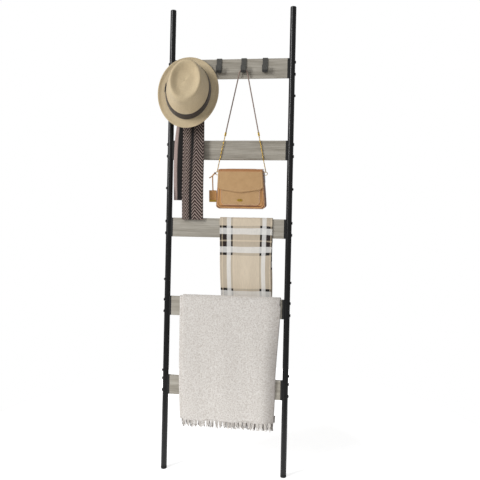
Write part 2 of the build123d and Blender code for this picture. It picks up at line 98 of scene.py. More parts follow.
for plan in lightPlan["lamps"]:
    addLamp(*plan)
scene.view_settings.view_transform = "Standard"
world = bpy.data.worlds.new("studio")
world.use_nodes = True
scene.world = world


def add(tree, kind, inputs, output=0, **settings):
    # a shader node with its settings and inputs, each a value or another node's output
    made = tree.nodes.new("ShaderNode" + kind)
    for key, value in settings.items():
        setattr(made, key, value)
    for key, value in inputs.items():
        if isinstance(value, bpy.types.NodeSocket):
            tree.links.new(value, made.inputs[key])
        else:
            made.inputs[key].default_value = value
    return made.outputs[output]


def maths(tree, operation, first, second=0.0, third=0.0):
    return add(tree, "Math", {0: first, 1: second, 2: third}, operation=operation)


def blendColour(tree, share, first, second, way="MIX"):
    return add(tree, "Mix", {0: share, 6: first, 7: second}, 2, data_type="RGBA", blend_type=way)


def paint(red, green, blue):
    # screen bytes to linear light
    share = np.array([red, green, blue]) / 255
    linear = np.where(share <= 0.04045, share / 12.92, ((share + 0.055) / 1.055) ** 2.4)
    return (*linear.tolist(), 1.0)


skyTree = world.node_tree
skyTree.nodes.clear()
seen = add(skyTree, "LightPath", {}, 0)
glow = add(skyTree, "Background", {"Color": (1, 1, 1, 1), "Strength": lightPlan["skyGlow"]})
plain = add(skyTree, "Background", {"Color": (1, 1, 1, 1), "Strength": 1.0})
sky = add(skyTree, "MixShader", {0: seen, 1: glow, 2: plain})
skyOut = skyTree.nodes.new("ShaderNodeOutputWorld")
skyTree.links.new(sky, skyOut.inputs["Surface"])


# ---- materials ----
def newMaterial(name, colour, roughness, **sockets):
    material = bpy.data.materials.new(name)
    material.use_nodes = True
    tree = material.node_tree
    shader = tree.nodes["Principled BSDF"]
    shader.inputs["Base Color"].default_value = colour
    shader.inputs["Roughness"].default_value = roughness
    for key, value in sockets.items():
        shader.inputs[key.replace("_", " ")].default_value = value
    return material, tree, shader


def objectPlace(tree, scale=(1, 1, 1)):
    spot = add(tree, "TexCoord", {}, 3)
    return add(tree, "Mapping", {"Vector": spot, "Scale": scale}) if scale != (1, 1, 1) else spot


def noise(tree, place, scale, detail=3.0, roughness=0.5):
    return add(tree, "TexNoise", {"Vector": place, "Scale": scale, "Detail": detail, "Roughness": roughness})


def ramp(tree, factor, stops, way="LINEAR"):
    made = tree.nodes.new("ShaderNodeValToRGB")
    made.color_ramp.interpolation = way
    while len(made.color_ramp.elements) < len(stops):
        made.color_ramp.elements.new(1.0)
    for element, (place, colour) in zip(made.color_ramp.elements, stops):
        element.position = place
        element.color = colour if len(colour) == 4 else (*colour, 1)
    tree.links.new(factor, made.inputs[0])
    return made.outputs[0]


def grey(value):
    return (value, value, value, 1.0)


def bump(tree, shader, height, distance, strength=1.0):
    normal = add(tree, "Bump", {"Height": height, "Distance": distance, "Strength": strength})
    tree.links.new(normal, shader.inputs["Normal"])


def coated(name, colour, roughness, grain=1400, depth=0.00012, **sockets):
    # powder coat, plastic or rubber: a fine orange-peel bump and a slow change of gloss
    material, tree, shader = newMaterial(name, colour, roughness, **sockets)
    place = objectPlace(tree)
    bump(tree, shader, noise(tree, place, grain), depth, 0.6)
    low, high = grey(max(roughness - 0.05, 0.02)), grey(roughness + 0.07)
    tree.links.new(ramp(tree, noise(tree, place, 22.0), [(0.3, low), (0.7, high)]), shader.inputs["Roughness"])
    return material


def boardMaterial():
    # pale limed wood: long noise along the board for the grain, finer noise for pores
    material, tree, shader = newMaterial("greigeBoard", paint(168, 162, 150), 0.62)
    broad = noise(tree, objectPlace(tree, (1.6, 26, 26)), 2.2, 5.0, 0.6)
    fine = noise(tree, objectPlace(tree, (5, 190, 190)), 2.0, 4.0, 0.65)
    base = ramp(tree, broad, [(0.28, paint(150, 144, 132)), (0.5, paint(177, 171, 159)), (0.72, paint(192, 187, 176))])
    pores = ramp(tree, fine, [(0.36, paint(196, 192, 184)), (0.56, grey(1.0))])
    tree.links.new(blendColour(tree, 0.7, base, pores, "MULTIPLY"), shader.inputs["Base Color"])
    bump(tree, shader, fine, 0.0003, 0.5)
    return material


def leatherMaterial(name, colour, dark, roughness=0.46, grain=420.0):
    # pebbled hide: cells for the grain, slow noise for the colour
    material, tree, shader = newMaterial(name, colour, roughness, Coat_Weight=0.06, Coat_Roughness=0.35)
    place = objectPlace(tree)
    cells = add(tree, "TexVoronoi", {"Vector": place, "Scale": grain}, 0, feature="DISTANCE_TO_EDGE")
    creases = ramp(tree, cells, [(0.0, grey(0.0)), (0.22, grey(1.0))])
    shade = ramp(tree, noise(tree, place, 38.0, 4.0, 0.6), [(0.3, dark), (0.7, colour)])
    lifted = blendColour(tree, 0.16, shade, creases, "MULTIPLY")
    tree.links.new(lifted, shader.inputs["Base Color"])
    bump(tree, shader, creases, 0.00022, 0.5)
    return material


def tanMaterial():
    # the bag's hide, deeper on the top of the flap where it turns over
    material = leatherMaterial("tanLeather", paint(210, 170, 121), paint(200, 159, 111))
    tree = material.node_tree
    shader = tree.nodes["Principled BSDF"]
    colour = shader.inputs["Base Color"].links[0].from_socket
    height = add(tree, "SeparateXYZ", {0: objectPlace(tree)}, 0).node.outputs[2]
    turned = maths(tree, "MULTIPLY", maths(tree, "SUBTRACT", height, 1.1035), 250.0)
    top = ramp(tree, turned, [(0.0, grey(0.0)), (1.0, grey(0.8))])
    tree.links.new(blendColour(tree, top, colour, paint(176, 112, 62)), shader.inputs["Base Color"])
    return material


def hookMaterial():
    # dark grey steel with vertical brushing, with painted shade that turns it black under the trough
    material = coated("hookSteel", paint(78, 77, 73), 0.5, 1100)
    tree = material.node_tree
    height = add(tree, "SeparateXYZ", {0: objectPlace(tree)}, 0).node.outputs[2]
    # painted shade: black below 6 mm under the middle of the trough, changing to the steel colour over the 6 mm above
    low = maths(tree, "MULTIPLY", maths(tree, "SUBTRACT", height, rack["trough"][1] - 0.006), 160.0)
    brushed = noise(tree, objectPlace(tree, (900, 900, 12)), 1.0)
    steel = ramp(tree, brushed, [(0.35, paint(62, 61, 58)), (0.65, paint(88, 87, 83))])
    tree.links.new(blendColour(tree, ramp(tree, low, [(0.0, grey(0.0)), (1.0, grey(1.0))]), paint(12, 12, 12), steel),
                   tree.nodes["Principled BSDF"].inputs["Base Color"])
    return material


def metalMaterial(name, colour, roughness):
    material, tree, shader = newMaterial(name, colour, roughness, Metallic=1.0)
    wear = noise(tree, objectPlace(tree), 160.0, 4.0, 0.6)
    levels = [(0.3, grey(roughness * 0.8)), (0.7, grey(roughness * 1.5))]
    tree.links.new(ramp(tree, wear, levels), shader.inputs["Roughness"])
    bump(tree, shader, wear, 0.00005, 0.4)
    return material


def clothPlace(tree):
    # the cloth's own metres: u across it, v along it
    return add(tree, "SeparateXYZ", {0: add(tree, "TexCoord", {}, 2)}, 0).node.outputs


def wave(tree, value, period):
    # sine of tau value / period, from 0 to 1
    return maths(tree, "MULTIPLY_ADD", maths(tree, "SINE", maths(tree, "MULTIPLY", value, tau / period)), 0.5, 0.5)


def boucleMaterial():
    # curled loops: smooth cells a few millimetres wide, and speckled light and shade
    wool = paint(226, 223, 217)
    material, tree, shader = newMaterial("boucleCloth", wool, 0.95, Sheen_Weight=0.25, Sheen_Roughness=0.6)
    place = objectPlace(tree)
    bent = blendColour(tree, 0.012, place, add(tree, "TexNoise", {"Vector": place, "Scale": 120.0}, 1), "ADD")
    loops = add(tree, "TexVoronoi", {"Vector": bent, "Scale": 330.0, "Smoothness": 0.7}, feature="SMOOTH_F1")
    patches = noise(tree, place, 210.0, 3.0, 0.6)
    stops = [(0.34, paint(206, 199, 192)), (0.5, paint(224, 219, 213)), (0.64, paint(236, 232, 227))]
    tone = ramp(tree, patches, stops)
    holes = ramp(tree, loops, [(0.45, grey(1.0)), (0.9, paint(228, 223, 217))])
    lit = blendColour(tree, 0.7, tone, holes, "MULTIPLY")
    shade = add(tree, "Attribute", {}, 2, attribute_name="shade")
    tree.links.new(blendColour(tree, shade, lit, paint(72, 57, 47)), shader.inputs["Base Color"])
    bump(tree, shader, maths(tree, "SUBTRACT", patches, loops), 0.0009, 0.6)
    return material


def bandRamp(tree, coordinate, start, bands):
    # colour bands that repeat along a coordinate: bands are (width, colour) from start
    period = sum(width for width, _ in bands)
    share = maths(tree, "FRACT", maths(tree, "DIVIDE", maths(tree, "SUBTRACT", coordinate, start), period))
    edges = np.cumsum([0] + [width for width, _ in bands[:-1]]) / period
    return ramp(tree, share, [(float(edge), colour) for edge, (_, colour) in zip(edges, bands)], "CONSTANT")


def plaidMaterial(sett):
    # a colour for the warp by u and for the weft by v; where they cross each gives half, and white gives more
    material, tree, shader = newMaterial("plaidCloth", paint(214, 200, 178), 0.9, Sheen_Weight=0.2, Sheen_Roughness=0.5)
    across, along, _ = clothPlace(tree)
    sway = maths(tree, "MULTIPLY", noise(tree, objectPlace(tree), 9.0, 1.0), 0.012)
    warp = bandRamp(tree, across, 0.0, sett["across"])
    weft = bandRamp(tree, maths(tree, "ADD", along, sway), sett["alongStart"], sett["along"])
    lightest = add(tree, "Mix", {0: 1.0, 6: warp, 7: weft}, 2, data_type="RGBA", blend_type="LIGHTEN")
    woven = blendColour(tree, 0.5, warp, weft)
    brightness = add(tree, "RGBToBW", {0: lightest})
    share = ramp(tree, brightness, [(0.62, grey(0.0)), (0.7, grey(0.55))])
    mixed = blendColour(tree, share, woven, lightest)
    twill = wave(tree, maths(tree, "ADD", across, along), 0.0016)
    ribs = wave(tree, across, 0.0011)
    slub = ramp(tree, noise(tree, objectPlace(tree, (60, 60, 6)), 6.0, 4.0, 0.7), [(0.3, grey(0.86)), (0.7, grey(1.0))])
    tree.links.new(blendColour(tree, 0.9, mixed, slub, "MULTIPLY"), shader.inputs["Base Color"])
    bump(tree, shader, maths(tree, "ADD", twill, ribs), 0.00018, 0.8)
    return material


def herringboneMaterial(weave):
    # stripes of v - slope |u from the nearest rib|, which makes chevrons; the reverse side is nearly black, and painted
    # shadow darkens the groove between the outer flaps
    material, tree, shader = newMaterial("herringboneWool", paint(90, 75, 68), 0.95, Sheen_Weight=0.2)
    across, along, _ = clothPlace(tree)
    rib = maths(tree, "FRACT", maths(tree, "DIVIDE", across, weave["chevron"]))
    arm = maths(tree, "MULTIPLY", maths(tree, "ABSOLUTE", maths(tree, "SUBTRACT", rib, 0.5)), weave["chevron"])
    wobble = maths(tree, "MULTIPLY", noise(tree, objectPlace(tree), 60.0, 2.0), 0.004)
    climb = maths(tree, "MULTIPLY_ADD", arm, -weave["slope"], maths(tree, "ADD", along, wobble))
    stripes = wave(tree, climb, weave["spacing"])
    fibres = noise(tree, objectPlace(tree), 520.0, 4.0, 0.75)
    broken = maths(tree, "MULTIPLY_ADD", maths(tree, "SUBTRACT", fibres, 0.5), 0.6, stripes)
    front = ramp(tree, broken, [(0.5, paint(50, 36, 32)), (0.74, paint(86, 67, 61)), (1.0, paint(204, 184, 174))])
    back = ramp(tree, broken, [(0.3, paint(10, 9, 9)), (0.95, paint(30, 26, 26))])
    edge = ramp(tree, fibres, [(0.3, paint(150, 128, 122)), (0.7, paint(200, 180, 174))])
    side = add(tree, "SeparateColor", {0: add(tree, "Attribute", {}, 0, attribute_name="side")}, 0).node.outputs
    worn = blendColour(tree, side[0], front, back)
    lit = blendColour(tree, side[1], worn, edge)
    # painted shadow: the third channel of the side attribute takes the colour towards near black
    tree.links.new(blendColour(tree, side[2], lit, paint(14, 10, 9)), shader.inputs["Base Color"])
    bump(tree, shader, broken, 0.0005, 0.7)
    return material


def strawMaterial():
    # fine plaited straw: two sets of fibres crossing on the hat's own u and v
    material, tree, shader = newMaterial("strawFelt", paint(206, 188, 154), 0.72, Sheen_Weight=0.15)
    across, along, _ = clothPlace(tree)
    one = wave(tree, maths(tree, "ADD", across, along), 0.0026)
    two = wave(tree, maths(tree, "SUBTRACT", across, along), 0.0026)
    weave = maths(tree, "MULTIPLY", one, two)
    tone = noise(tree, objectPlace(tree), 240.0, 5.0, 0.75)
    soft = noise(tree, objectPlace(tree), 14.0, 2.0)
    base = ramp(tree, soft, [(0.3, paint(218, 199, 163)), (0.7, paint(228, 210, 175))])
    speck = ramp(tree, maths(tree, "MULTIPLY_ADD", weave, 0.3, tone), [(0.3, paint(214, 205, 190)), (0.8, grey(1.0))])
    tree.links.new(blendColour(tree, 0.75, base, speck, "MULTIPLY"), shader.inputs["Base Color"])
    bump(tree, shader, maths(tree, "ADD", weave, tone), 0.00035, 0.7)
    return material


def ribbonMaterial():
    # grosgrain: close ribs across the ribbon
    material, tree, shader = newMaterial("hatRibbon", paint(58, 50, 49), 0.4, Sheen_Weight=0.3, Sheen_Roughness=0.35)
    ribs = wave(tree, clothPlace(tree)[0], 0.0011)
    levels = [(0.0, paint(40, 34, 34)), (1.0, paint(70, 62, 61))]
    tree.links.new(ramp(tree, ribs, levels), shader.inputs["Base Color"])
    bump(tree, shader, ribs, 0.00025, 0.8)
    return material


plaidSett = {
    "across": [(w / 1000, c) for w, c in [
        (6, paint(30, 22, 18)), (4, paint(222, 205, 178)), (15, paint(26, 18, 14)), (16, paint(246, 244, 240)),
        (7, paint(26, 20, 16)), (102, paint(233, 217, 193)), (7, paint(26, 20, 16)), (16, paint(246, 244, 240)),
        (15, paint(30, 22, 18)), (5, paint(222, 205, 178))]],
    "along": [(w / 1000, c) for w, c in [
        (9, paint(26, 20, 16)), (24, paint(246, 244, 240)), (21, paint(40, 22, 16)), (5, paint(222, 205, 178)),
        (19, paint(40, 22, 16)), (22, paint(246, 244, 240)), (10, paint(26, 20, 16)), (125, paint(233, 217, 193))]],
    "alongStart": 0.0245,
}
herringboneWeave = {"chevron": 0.040, "slope": 1.5, "spacing": 0.0125}

finishes = {
    "black_steel": coated("blackSteel", paint(9, 9, 10), 0.28, Specular_IOR_Level=0.42),
    "greige_board": boardMaterial(),
    "saddle_plastic": coated("saddlePlastic", paint(16, 16, 16), 0.5),
    "cap_plastic": coated("capPlastic", paint(14, 14, 15), 0.45),
    "foot_rubber": coated("footRubber", paint(20, 20, 20), 0.8, 500, 0.0003),
    "insert_brass": metalMaterial("insertBrass", paint(196, 160, 96), 0.35),
    "screw_black": coated("screwBlack", paint(26, 26, 27), 0.4, 900),
    "hook_steel": hookMaterial(),
    "hat_felt": strawMaterial(),
    "hat_ribbon": ribbonMaterial(),
    "sweat_leather": leatherMaterial("sweatLeather", paint(150, 112, 80), paint(118, 84, 58), 0.5, 600.0),
    "herringbone_wool": herringboneMaterial(herringboneWeave),
    "tan_leather": tanMaterial(),
    "gold_metal": metalMaterial("goldMetal", paint(222, 184, 82), 0.24),
    "pale_metal": metalMaterial("paleMetal", paint(196, 198, 202), 0.3),
    "strap_leather": leatherMaterial("strapLeather", paint(166, 144, 132), paint(150, 128, 118), 0.5, 700.0),
    "plaid_cloth": plaidMaterial(plaidSett),
    "boucle_cloth": boucleMaterial(),
}
gussetLeather = leatherMaterial("gussetLeather", paint(140, 90, 54), paint(122, 76, 44))
bodyLeather = leatherMaterial("bodyLeather", paint(218, 165, 104), paint(206, 150, 92))
tagLeather = leatherMaterial("tagLeather", paint(214, 162, 98), paint(200, 146, 84))
edgeLeather = leatherMaterial("edgeLeather", paint(224, 186, 154), paint(212, 170, 136), 0.4)
knotLeather = leatherMaterial("knotLeather", paint(150, 98, 60), paint(120, 76, 44), 0.45)
threadCotton = coated("threadCotton", paint(222, 190, 150), 0.8, 2500)

for part in frame["record"]["subparts"]:
    mesh = nodes[part["node"]].data
    mesh.materials.clear()
    mesh.materials.append(finishes[part["material_slot"]])
print("materials", len(finishes))


# ---- surfaces ----
def surface(name, points, uv=None, closed=(False, False), caps=False):
    # quads between the rows and columns of points: (copies, rows, columns, 3), or one copy without its first axis
    points = np.asarray(points, float)
    points = points[None] if points.ndim == 3 else points
    copies, rows, columns = points.shape[:3]
    down = np.arange(rows if closed[0] else rows - 1)[:, None]
    over = np.arange(columns if closed[1] else columns - 1)[None, :]
    corners = [(down, over), (down, over + 1), (down + 1, over + 1), (down + 1, over)]
    quads = np.stack([i % rows * columns + j % columns for i, j in corners], -1).reshape(-1, 4)
    firsts = np.arange(copies)[:, None, None] * rows * columns
    faces = (firsts + quads[None]).reshape(-1, 4).tolist()
    if caps:
        ring = np.arange(columns)
        faces += (firsts[:, 0] + ring[None, ::-1]).tolist()
        faces += (firsts[:, 0] + (rows - 1) * columns + ring[None]).tolist()
    mesh = bpy.data.meshes.new(name)
    mesh.from_pydata(points.reshape(-1, 3).tolist(), [], faces)
    if uv is not None:
        spots = np.stack([uv[tuple(np.broadcast_arrays(i, j))] for i, j in corners], 2)
        flat = np.tile(spots.reshape(-1, 2), (copies, 1))
        layer = mesh.uv_layers.new(name="cloth")
        values = np.zeros((len(mesh.loops), 2))
        values[: len(flat)] = flat
        layer.data.foreach_set("uv", values.ravel())
    mesh.polygons.foreach_set("use_smooth", [True] * len(mesh.polygons))
    piece = bpy.data.objects.new(name, mesh)
    scene.collection.objects.link(piece)
    return piece


def paintPoints(piece, shade):
    # how much warm shadow the material gives each point, 0 to 1
    piece.data.attributes.new("shade", "FLOAT", "POINT").data.foreach_set("value", np.ravel(shade))


def finishPiece(piece, body, slotName, material=None, stands=()):
    piece.data.materials.append(material or finishes[slotName])
    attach(piece, body)
    if stands:
        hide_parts(*stands)
    return piece


def thicken(piece, thickness, offset=0.0):
    wall = piece.modifiers.new("wall", "SOLIDIFY")
    wall.thickness, wall.offset = thickness, offset
    return piece


def bent(corners, step):
    # a quadratic spline through the middle of each run, bending towards each corner, at even steps of its length
    corners = np.asarray(corners, float)
    middles = (corners[1:] + corners[:-1]) / 2
    starts = np.vstack([corners[:1], middles[1:-1]])
    ends = np.vstack([middles[1:-1], corners[-1:]])
    t = np.linspace(0, 1, 48)[None, :, None]
    curve = (1 - t) ** 2 * starts[:, None] + 2 * t * (1 - t) * corners[1:-1, None] + t * t * ends[:, None]
    return evenly(curve.reshape(-1, corners.shape[1]), step)


def evenly(curve, step):
    # the same line at even steps: (points, distance along it)
    gaps = np.linalg.norm(np.diff(curve, axis=0), axis=1)
    kept = np.concatenate([[True], gaps > 1e-9])
    curve = curve[kept]
    reach = np.concatenate([[0], np.cumsum(np.linalg.norm(np.diff(curve, axis=0), axis=1))])
    marks = np.linspace(0, reach[-1], max(int(round(reach[-1] / step)), 2) + 1)
    return np.stack([np.interp(marks, reach, column) for column in curve.T], 1), marks


def smooth(low, high, value):
    # 0 below low, 1 above high, an even curve between
    share = np.clip((value - low) / (high - low), 0, 1)
    return share * share * (3 - 2 * share)


def unit(vectors):
    return vectors / np.linalg.norm(vectors, axis=-1, keepdims=True)


def grid(*values):
    # arrays that spread over the same rows and columns, side by side in a last axis
    return np.stack(np.broadcast_arrays(*values), -1)


def tube(name, rings, body, slotName, material=None, stands=(), uv=None):
    # a closed skin over rings of points, with flat ends
    return finishPiece(surface(name, rings, uv, (False, True), True), body, slotName, material, stands)


def softNoise(shape, cells, seed):
    # smooth random heights on a grid, about -1 to 1: random corners, curved between
    corners = np.random.default_rng(seed).normal(0, 0.5, (cells[0] + 3, cells[1] + 3))

    def weights(count, cellCount):
        place = np.linspace(0, cellCount, count)
        low = np.minimum(place.astype(int), cellCount)
        share = place - low
        return low, share * share * (3 - 2 * share)

    rowLow, rowShare = weights(shape[0], cells[0])
    colLow, colShare = weights(shape[1], cells[1])
    upper = corners[rowLow][:, colLow] * (1 - colShare) + corners[rowLow][:, colLow + 1] * colShare
    lower = corners[rowLow + 1][:, colLow] * (1 - colShare) + corners[rowLow + 1][:, colLow + 1] * colShare
    return upper * (1 - rowShare[:, None]) + lower * rowShare[:, None]


def leafSection(width, gap, step, flaps):
    # a flat-folded cloth across: distance over it, x from 0 to 1 between its folds, and depth in layers
    # flaps are runs (x from, x to, layer); each fold is half a circle between two layers
    pieces = []
    for (start, end, layer), following in zip(flaps, flaps[1:] + [None]):
        run = np.linspace(start, end, max(int(abs(end - start) * width / step), 3))
        pieces.append(np.stack([run, np.full(len(run), layer)], 1))
        if following is not None:
            nextLayer = following[2]
            turn = np.linspace(-math.pi / 2, math.pi / 2, 9)[1:-1]
            reach = abs(nextLayer - layer) * gap / 2 / width
            bulge = np.cos(turn) * reach * np.sign(end - start)
            pieces.append(np.stack([end + bulge, (layer + nextLayer) / 2 + np.sin(turn) * (nextLayer - layer) / 2], 1))
    line = np.vstack(pieces)
    lengths = np.hypot(np.diff(line[:, 0]) * width, np.diff(line[:, 1]) * gap)
    return np.concatenate([[0], np.cumsum(lengths)]), line[:, 0], line[:, 1]


def outward(path):
    # the side of a (y, z) path that faces away from the rung it lies over: its tangent turned a quarter
    tangent = unit(np.gradient(path, axis=0))
    return np.stack([tangent[:, 1], -tangent[:, 0]], 1)


def layOver(path, x, depth):
    # points at x and at a depth off a (y, z) path, on its outward side
    normal = outward(path)
    return grid(x, path[:, None, 0] + normal[:, None, 0] * depth, path[:, None, 1] + normal[:, None, 1] * depth)


# ---- throw ----
throwCut = {
    "topZ": 0.6565, "frontHem": 0.187, "rearHem": 0.181,
    "left": (-0.175, -0.168), "right": (0.200, 0.180),  # at the top and at the hem
    "width": 0.36, "step": 0.005, "layerGap": 0.0043, "thickness": 0.0034,
    "setBack": 0.011,  # of the front layer's left edge from the rear layer's
    "frontY": 0.0289, "rearY": 0.1081,
}


def throwEdges(z):
    # left and right x at a height: straight between the top and the hem
    share = np.clip((throwCut["topZ"] - z) / (throwCut["topZ"] - throwCut["frontHem"]), 0, 1)
    left = throwCut["left"][0] + (throwCut["left"][1] - throwCut["left"][0]) * share
    right = throwCut["right"][0] + (throwCut["right"][1] - throwCut["right"][0]) * share
    return left, right + 0.0015 * np.sin(share * 9)


def makeThrow():
    # over rung 4 and in front of rung 5: path(v) in y and z, section(u) two layers joined by a fold on the right
    topRise = rack["rungHalf"] + 0.005
    rearTop = rackPoint(rack["rungDepth"] / 2 + 0.005, rack["rungHeights"][3] + topRise)
    front = [nearRung(4, topRise, 0.005), nearRung(4, topRise - 0.016, 0.005), nearRung(4, -0.04, 0.005)]
    low = nearRung(5, 0.0, 0.005)
    y = throwCut["rearY"]
    corners = [(y, throwCut["rearHem"]), (y, 0.4), (y, rearTop[1] - 0.016), (y, rearTop[1] - 0.001)] + front
    corners += [(low[0], low[1] + 0.05), (throwCut["frontY"], 0.285), (throwCut["frontY"], 0.23)]
    corners += [(throwCut["frontY"], throwCut["frontHem"])]
    path, marks = bent(corners, throwCut["step"])
    width = throwCut["width"]
    flaps = [(throwCut["setBack"] / width, 1.0, 0.5), (1.0, 0.0, -0.5)]
    reach, across, layer = leafSection(width, throwCut["layerGap"], throwCut["step"], flaps)
    left, right = throwEdges(path[:, 1])
    right = right - 0.011 * smooth(0.0, 0.08, throwCut["topZ"] - path[:, 1]) * (path[:, 0] > 0.08)
    x = left[:, None] + (right - left)[:, None] * across
    hang = smooth(0.0, 0.25, np.minimum(np.abs(path[:, 1] - throwCut["topZ"]), 0.4))[:, None]
    drape = 0.0012 * np.sin(x * 47 + path[:, 1][:, None] * 5) * hang
    curl = -0.0035 * smooth(0.82, 1.0, across) ** 2 * hang * (path[:, 0] < 0.08)[:, None]
    pile = 0.00045 * softNoise((len(marks), len(across)), (190, 150), 5)
    depth = layer * throwCut["layerGap"] + drape + curl + pile * np.sign(layer + 1e-6)
    points = layOver(path, x, depth)
    nearHems = np.exp(-marks / 0.02)[:, None] + np.exp((marks - marks[-1]) / 0.02)[:, None]
    points[..., 2] += 0.0022 * softNoise((1, len(across)), (1, 16), 8)[0] * nearHems
    cloth = surface("throwCloth", points, grid(reach[None, :], marks[:, None]))
    paintPoints(cloth, 0.5 * smooth(0.85, 1.02, across) * np.ones((len(marks), 1)) * (0.55 + 0.45 * hang))
    thicken(cloth, throwCut["thickness"])
    finishPiece(cloth, "throw", "boucle_cloth", stands=["throw"])
    return cloth, marks[-1], reach[-1]


def tufts(name, roots, length, pitch, radius, lean, seed, body, slotName, stands=()):
    # four plied yarns from each root: a three-lobed ring that turns as it goes down, swaying, thinner at the tip
    random = np.random.default_rng(seed)
    yarns = 4
    count = len(roots) * yarns
    offset = np.tile((np.arange(yarns) - (yarns - 1) / 2) * pitch, len(roots))[:, None, None]
    rootX, rootY, rootZ, shade = np.repeat(roots, yarns, axis=0).T[..., None, None]
    v = np.linspace(0, 1, 9)[None, :, None]
    u = np.linspace(0, tau, 12, endpoint=False)[None, None, :]
    size = random.uniform(0.85, 1.15, (count, 1, 1))
    turn = np.repeat(random.uniform(-lean, lean, len(roots)), yarns)[:, None, None]
    turn = turn + random.uniform(-0.05, 0.05, (count, 1, 1))
    reach = length * random.uniform(0.74, 1.06, (count, 1, 1))
    phase = random.uniform(0, tau, (count, 1, 1))
    ring = radius * size * (1 - 0.45 * v ** 2) * (1 + 0.14 * np.cos(3 * u + 9 * v + phase))
    x = rootX + offset * (1 - 0.28 * v) + ring * np.cos(u) + turn * v * length + 0.0011 * v * np.sin(5 * v + phase)
    y = rootY + ring * 0.8 * np.sin(u) + 0.0007 * np.cos(phase + 3 * v)
    z = rootZ - reach * v + 0 * u
    spots = grid(u[0] * radius, v[0] * length)
    spots = np.concatenate([spots, spots[:, :1]], 1)
    piece = surface(name, grid(x, y, z)[:, :, ::-1], spots, (False, True), True)
    paintPoints(piece, np.maximum(shade, 0.3 * np.abs(np.cos(u)) ** 3) + 0 * x)
    return finishPiece(piece, body, slotName, stands=stands)


throwCloth, throwLength, throwWidth = makeThrow()
tuftSteps = np.linspace(0, 1, 22)
hemLeft, hemRight = throwCut["left"][1], throwCut["right"][1]
roots = []
for hemY, hemZ, side in ((throwCut["frontY"], throwCut["frontHem"], -1), (throwCut["rearY"], throwCut["rearHem"], 1)):
    for layer in (0.5, -0.5):
        start = hemLeft + 0.006 + (throwCut["setBack"] if layer > 0 else 0)
        between = 0.0 if layer > 0 else 0.5 / len(tuftSteps)  # the inner row shows in the slits of the outer one
        rootX = start + (hemRight - 0.010 - start) * (tuftSteps + between)
        shade = 0.0 if layer > 0 else 0.8
        roots.append(grid(rootX, hemY + side * layer * throwCut["layerGap"], hemZ + 0.004, shade))
throwFringe = tufts("throwFringe", np.concatenate(roots), length=0.034, pitch=0.0031, radius=0.0019, lean=0.09, seed=11,
                    body="throw", slotName="boucle_cloth", stands=["throw_fringe"])
print("throw", round(throwWidth, 3), round(throwLength, 3))

# ---- plaid scarf ----
plaidCut = {"left": -0.028, "right": 0.165, "hem": 0.602, "gap": 0.0021, "thickness": 0.0014, "step": 0.004}


def makePlaid():
    # folded lengthwise, both sides to the middle of the back, over rung 3
    off = 0.0031
    topRise = rack["rungHalf"] + off
    rearTop = rackPoint(rack["rungDepth"] / 2 + off, rack["rungHeights"][2] + topRise)
    lowY = nearRung(3, -rack["rungHalf"], off)[0]
    rear = rearTop[0]
    corners = [(rear, plaidCut["hem"]), (rear, 0.8), (rear, rearTop[1] - 0.012), (rear, rearTop[1])]
    corners += [nearRung(3, topRise, off), nearRung(3, topRise - 0.012, off), nearRung(3, -0.03, off)]
    corners += [(lowY, 0.845), (lowY, 0.8), (lowY, plaidCut["hem"])]
    path, marks = bent(corners, plaidCut["step"])
    width = plaidCut["right"] - plaidCut["left"]
    flaps = [(0.49, 0.0, -0.5), (0.0, 1.0, 0.5), (1.0, 0.51, -0.5)]
    reach, across, layer = leafSection(width, plaidCut["gap"], plaidCut["step"], flaps)
    frontStart = reach[np.argmax(layer > 0.45)]
    fallen = smooth(0.0, 0.2, rearTop[1] - path[:, 1])[:, None]
    x = plaidCut["left"] + width * across + 0.0018 * np.sin(marks[:, None] * 21) * fallen
    x = x + fallen * (0.5 - across) * 0.006
    crease = 0.0008 * np.sin(across * 19 + marks[:, None] * 6) * fallen
    crease = crease + 0.0003 * softNoise((len(marks), len(across)), (60, 40), 3)
    points = layOver(path, x, layer * plaidCut["gap"] + crease)
    crest = marks[np.argmax(path[:, 1])] + 0.012  # where the pattern is counted from
    uv = grid((reach - frontStart)[None, :], (marks - crest)[:, None])
    cloth = thicken(surface("plaidCloth", points, uv), plaidCut["thickness"])
    finishPiece(cloth, "plaid_scarf", "plaid_cloth", stands=["plaid_scarf"])
    return cloth, marks[-1], reach[-1]


plaidCloth, plaidLength, plaidWidth = makePlaid()
print("plaid scarf", round(plaidWidth, 3), round(plaidLength, 3))

# ---- herringbone scarf ----
woolCut = {
    "hookX": -0.147, "step": 0.005, "thickness": 0.0011, "leaf": 0.079, "gap": 0.0022,
    "halfRear": 0.029, "halfFront": 0.0375, "bunch": 0.0085,  # half widths of the legs and at the hook
    "rearX": (-0.208, -0.150), "rearHem": 0.995, "frontX": (-0.170, -0.095), "frontHem": 0.9265,
    "flaps": [(0.53, 0.0, 2.0), (0.0, 1.0, 1.0), (1.0, 0.0, 0.0), (0.0, 1.0, -1.0), (1.0, 0.56, 2.0)],
}


